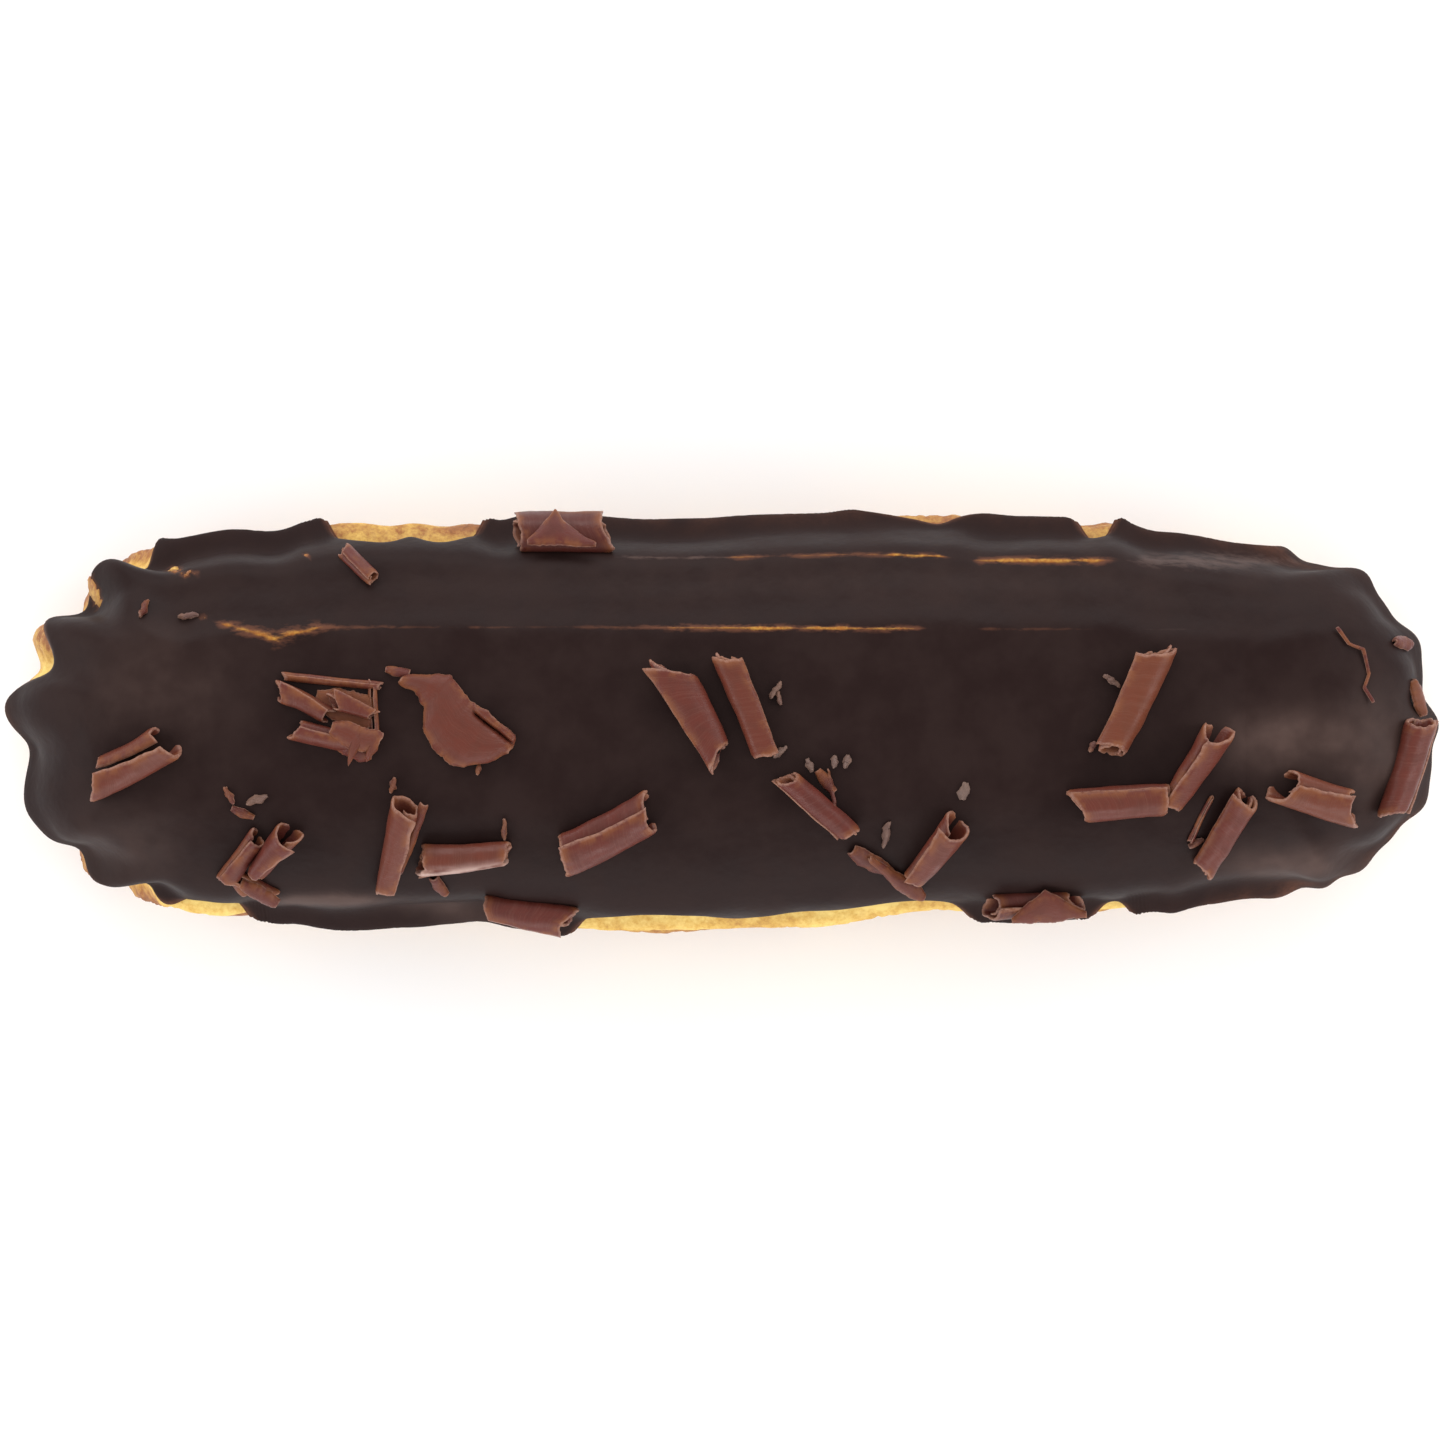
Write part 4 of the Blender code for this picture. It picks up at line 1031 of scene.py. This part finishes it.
def add_sheets(name, tree, lay, rows, material):
    """One piece from the closed sheets of a table's rows."""
    points, faces, values = zip(*(lay(tree, row, i + 1) for i, row in enumerate(rows)))
    starts = np.cumsum([0] + [len(part) for part in points[:-1]])
    faces = np.concatenate([part + start for part, start in zip(faces, starts)])
    joined = {key: np.concatenate([part[key] for part in values]) for key in values[0]}
    return add_piece(name, np.concatenate(points), faces, material, "chocolate_icing", joined)


# Materials


class Shader:
    """A material's node tree, with short ways to add and join nodes."""

    def __init__(self, name):
        self.material = bpy.data.materials.new(name)
        self.material.use_nodes = True
        self.tree = self.material.node_tree
        self.surface = self.tree.nodes["Principled BSDF"]

    def add(self, kind, inputs=None, **settings):
        """A node with these settings. An input is given a plain value or another node's output."""
        node = self.tree.nodes.new(kind)
        for name, value in settings.items():
            setattr(node, name, value)
        for name, value in (inputs or {}).items():
            self.feed(node, name, value)
        return node

    def feed(self, node, name, value):
        if isinstance(value, bpy.types.NodeSocket):
            self.tree.links.new(value, node.inputs[name])
        else:
            node.inputs[name].default_value = value

    def attribute(self, name, output="Fac"):
        return self.add("ShaderNodeAttribute", attribute_name=name).outputs[output]

    def place(self, stretch=(1.0, 1.0, 1.0)):
        """Where on the object a point is, in millimetres, stretched along each axis."""
        here = self.add("ShaderNodeTexCoord").outputs["Object"]
        scale = tuple(1.0 / (MM * s) for s in stretch)
        return self.add("ShaderNodeMapping", {"Vector": here, "Scale": scale}).outputs["Vector"]

    def noise(self, vector, size, detail=3.0, roughness=0.6):
        inputs = {"Vector": vector, "Scale": 1.0 / size, "Detail": detail, "Roughness": roughness}
        return self.add("ShaderNodeTexNoise", inputs).outputs["Fac"]

    def ranged(self, value, low, high, to_low=0.0, to_high=1.0):
        inputs = {"Value": value, "From Min": low, "From Max": high, "To Min": to_low, "To Max": to_high}
        return self.add("ShaderNodeMapRange", inputs, interpolation_type="SMOOTHSTEP").outputs["Result"]

    def math(self, operation, first, second):
        node = self.add("ShaderNodeMath", operation=operation)
        self.feed(node, 0, first)
        self.feed(node, 1, second)
        return node.outputs["Value"]

    def times(self, first, second):
        return self.math("MULTIPLY", first, second)

    def total(self, first, *others):
        for other in others:
            first = self.math("ADD", first, other)
        return first

    def blend(self, share, first, second):
        """A colour between two others."""
        node = self.add("ShaderNodeMix", data_type="RGBA")
        self.feed(node, 0, share)
        for number, colour in ((6, first), (7, second)):
            self.feed(node, number, colour if isinstance(colour, bpy.types.NodeSocket) else (*colour, 1.0))
        return node.outputs[2]

    def ramp(self, value, stops):
        node = self.add("ShaderNodeValToRGB", {"Fac": value})
        elements = node.color_ramp.elements
        while len(elements) < len(stops):
            elements.new(0.5)
        for element, (position, colour) in zip(elements, stops):
            element.position = position
            element.color = (*colour, 1.0)
        return node.outputs["Color"]

    def profile(self, value, stops):
        """A number that runs straight from stop to stop, over a value in the range of the crest lines."""
        low, high = CREST_LINE_REACH
        numbers = [number for _, number in stops]
        base, span = min(numbers), max(max(numbers) - min(numbers), 0.001)
        inputs = {"Value": value, "From Min": low, "From Max": high}
        share = self.add("ShaderNodeMapRange", inputs).outputs["Result"]
        shades = [((x - low) / (high - low), ((number - base) / span,) * 3) for x, number in stops]
        inputs = {"Value": self.ramp(share, shades), "To Min": base, "To Max": base + span}
        return self.add("ShaderNodeMapRange", inputs).outputs["Result"]

    def bump(self, height, distance, strength=1.0, below=None):
        inputs = {"Height": height, "Distance": distance, "Strength": strength}
        if below is not None:
            inputs["Normal"] = below
        return self.add("ShaderNodeBump", inputs).outputs["Normal"]

    def finish(self, colour, roughness, normal, gloss=0.5):
        self.surface.inputs["Specular IOR Level"].default_value = gloss
        self.feed(self.surface, "Base Color", colour)
        self.feed(self.surface, "Roughness", roughness)
        self.feed(self.surface, "Normal", normal)
        return self.material


def choux_material():
    """Baked crust: brown on the ridges and round the base, golden between, pale in the flutes, darker in its
    pores and cracks, and with painted light and shade: paler toward -Y, darker toward +Y.
    """
    make = Shader("baked_choux")
    place = make.place()
    broad = make.noise(place, 6.0)
    fine = make.noise(place, 1.1, 4.0, 0.7)
    speck = make.noise(place, 0.35, 2.0)
    tone = make.total(
        make.ranged(broad, 0.3, 0.7, 0.12, 0.40),
        make.ranged(make.attribute("crest"), -1.0, 1.0, -0.12, 0.22),
        # The tone carries painted light and shade: paler toward -Y, darker toward +Y
        make.attribute("tone"),
        make.times(make.attribute("bare"), 0.30),
        make.times(make.attribute("relief"), -0.10),
        make.ranged(fine, 0.3, 0.75, -0.10, 0.15),
        make.ranged(speck, 0.35, 0.7, -0.05, 0.07),
    )
    stops = ((0.05, PALE_CRUST), (0.35, GOLDEN_CRUST), (0.70, BROWN_CRUST), (1.0, DARK_CRUST))
    normal = make.bump(fine, 0.25 * MM, 0.5)
    normal = make.bump(speck, 0.08 * MM, 0.5, normal)
    return make.finish(make.ramp(tone, stops), make.ranged(fine, 0.3, 0.7, 0.55, 0.75), normal)


def crest_lines(make, place):
    """Where the icing is thin and worn through along the crests, and where a pale highlight is painted on
    them, from 0 to 1.
    """
    split = make.add("ShaderNodeSeparateXYZ", {"Vector": place})
    x, y = split.outputs["X"], split.outputs["Y"]
    wander = make.math("SUBTRACT", make.noise(make.place((3.0, 1.0, 1.0)), 1.2, 3.0), 0.5)
    broken = make.noise(make.place((2.5, 1.0, 1.0)), 0.8, 3.0, 0.7)
    totals = [0.0, 0.0, 0.0]
    for path, half_widths, *levels in CREST_LINES:
        off = make.math("ABSOLUTE", make.math("SUBTRACT", y, make.profile(x, path)), 0.0)
        off = make.total(off, make.times(wander, 0.5))
        off = make.math("DIVIDE", off, make.profile(x, half_widths))
        for i, (stops, spread) in enumerate(zip(levels, LINE_SPREADS)):
            level = make.times(make.profile(x, stops), make.ranged(broken, 0.3, 0.62, 0.5, 1.15))
            inside = make.math("SUBTRACT", make.times(level, spread), off)
            mark = make.times(make.ranged(inside, 0.0, spread), make.ranged(level, 0.0, 0.6))
            totals[i] = make.math("MAXIMUM", mark, totals[i])
    return totals


def icing_material():
    """Set dark chocolate: satin, faintly mottled, paler in painted highlights and reflections, browner
    where it is thin.
    """
    make = Shader("dark_icing")
    place = make.place()
    mottle = make.noise(place, 5.0)
    grain = make.noise(place, 0.5, 3.0)
    ripple = make.noise(place, 2.6, 2.0)
    # Painted highlights and reflections: paler patches, and pale lines along the crests
    painted_highlight = make.times(make.attribute("painted_highlight"), make.ranged(mottle, 0.25, 0.75, 0.6, 1.0))
    thin_lines, bare_lines, painted_highlight_lines = crest_lines(make, place)
    painted_highlight = make.math("MAXIMUM", painted_highlight, painted_highlight_lines)
    colour = make.blend(make.ranged(mottle, 0.3, 0.7, 0.02, 0.11), DARK_CHOCOLATE, MOTTLE_AND_HIGHLIGHT_CHOCOLATE)
    colour = make.blend(painted_highlight, colour, MOTTLE_AND_HIGHLIGHT_CHOCOLATE)
    thin = make.times(make.attribute("thin"), make.ranged(grain, 0.3, 0.7, 0.5, 0.9))
    thin = make.math("MAXIMUM", thin, thin_lines)
    colour = make.blend(thin, colour, THIN_CHOCOLATE)
    crust = make.blend(make.ranged(grain, 0.35, 0.65, 0.0, 0.42), BROWN_CRUST, GOLDEN_CRUST)
    colour = make.blend(bare_lines, colour, crust)
    normal = make.bump(ripple, 0.25 * MM, 0.35)
    normal = make.bump(bare_lines, 0.15 * MM, 0.5, normal)
    normal = make.bump(grain, 0.05 * MM, 0.35, normal)
    steep = make.ranged(make.attribute("steep"), 0.0, 1.0, 0.0, 0.3)
    rough = make.total(make.ranged(mottle, 0.3, 0.7, 0.42, 0.55), steep)
    return make.finish(colour, rough, normal, DARK_GLOSS)


def curl_material(name, pale):
    """Milk chocolate shavings: fine streaks round the roll, deeper patches, pale broken edges, and a painted
    highlight in the colour given, where the pale attribute is set.
    """
    make = Shader(name)
    place = make.place()
    grain = make.attribute("grain", "Vector")
    streaked = make.add("ShaderNodeMapping", {"Vector": grain, "Scale": STREAK_SCALE}).outputs["Vector"]
    streak = make.noise(streaked, 1.0, 3.0)
    patch = make.noise(place, 1.6)
    fine = make.noise(place, 0.28, 3.0)
    colour = make.blend(make.ranged(patch, 0.35, 0.7, 0.0, 0.6), MILK_CHOCOLATE, DEEP_MILK_CHOCOLATE)
    tint = make.attribute("tint")
    colour = make.blend(make.ranged(tint, 0.0, 2.0, 0.0, 0.9), colour, WARM_MILK_CHOCOLATE)
    colour = make.blend(make.ranged(tint, 0.0, -1.0, 0.0, 0.8), colour, DEEP_MILK_CHOCOLATE)
    thin = make.times(make.attribute("thin"), make.ranged(patch, 0.4, 0.6, 0.0, 0.85))
    colour = make.blend(thin, colour, WARM_MILK_CHOCOLATE)
    colour = make.blend(make.ranged(streak, 0.45, 0.75, 0.0, 0.10), colour, PALE_MILK_CHOCOLATE)
    edge = make.times(make.attribute("edge"), make.ranged(fine, 0.3, 0.6, 0.2, 0.8))
    colour = make.blend(edge, colour, PALE_MILK_CHOCOLATE)
    # Painted highlight: a sheen on the rolls, a pale grey on the crumbs
    colour = make.blend(make.attribute("pale"), colour, pale)
    normal = make.bump(streak, 0.06 * MM, 0.6)
    normal = make.bump(fine, 0.06 * MM, 0.4, normal)
    return make.finish(colour, make.ranged(patch, 0.3, 0.7, 0.28, 0.5), normal, MILK_GLOSS)


# The stage


def add_floor():
    half = 0.5 * FLOOR_SIZE
    mesh = bpy.data.meshes.new("floor")
    corners = ((-half, -half, 0.0), (half, -half, 0.0), (half, half, 0.0), (-half, half, 0.0))
    mesh.from_pydata(corners, [], ((0, 1, 2, 3),))
    pale = Shader("pale_floor")
    pale.surface.inputs["Base Color"].default_value = (*FLOOR_COLOUR, 1.0)
    pale.surface.inputs["Roughness"].default_value = FLOOR_ROUGHNESS
    mesh.materials.append(pale.material)
    add_object("floor", mesh)


def add_lights():
    for i, (azimuth, height, distance, width, depth, watts) in enumerate(SOFT_BOXES):
        light = bpy.data.lights.new(f"soft_box_{i}", "AREA")
        light.shape = "RECTANGLE"
        light.size, light.size_y, light.energy = width, depth, watts
        around, up = math.radians(azimuth), math.radians(height)
        direction = Vector((math.cos(up) * math.cos(around), math.cos(up) * math.sin(around), math.sin(up)))
        made = add_object(light.name, light)
        made.location = direction * distance
        made.rotation_euler = direction.to_track_quat("Z", "Y").to_euler()
    world = bpy.data.worlds.new("studio")
    world.use_nodes = True
    world.node_tree.nodes["Background"].inputs["Color"].default_value = (*WORLD_COLOUR, 1.0)
    bpy.context.scene.world = world


def add_camera():
    """Straight above, with the photograph's right at +X and its top at +Y."""
    camera = bpy.data.cameras.new("camera")
    camera.sensor_width = SENSOR
    camera.lens = SENSOR * CAMERA_DISTANCE / VIEW_WIDTH
    made = add_object("camera", camera)
    made.location = (0.0, 0.0, WIDEST_HEIGHT + CAMERA_DISTANCE)
    bpy.context.scene.camera = made


def main():
    at = outline_stations()
    rim = rim_angles(at)
    add_choux(at, rim, choux_material())
    icing = add_icing(at, rim, icing_material())
    vertices = [v.co for v in icing.data.vertices]
    tree = BVHTree.FromPolygons(vertices, [p.vertices for p in icing.data.polygons])
    milk = curl_material("milk_chocolate", PAINTED_SHEEN)
    add_sheets("chocolate_rolls", tree, lay_roll, ROLLS, milk)
    add_sheets("chocolate_plates", tree, lay_plate, PLATES, milk)
    crumb_material = curl_material("crumb_chocolate", PAINTED_CRUMB_HIGHLIGHT)
    add_sheets("chocolate_crumbs", tree, lay_crumb, CRUMBS, crumb_material)
    add_floor()
    add_lights()
    add_camera()
    bpy.context.scene.view_settings.view_transform = "Standard"
    bpy.context.view_layer.update()


main()
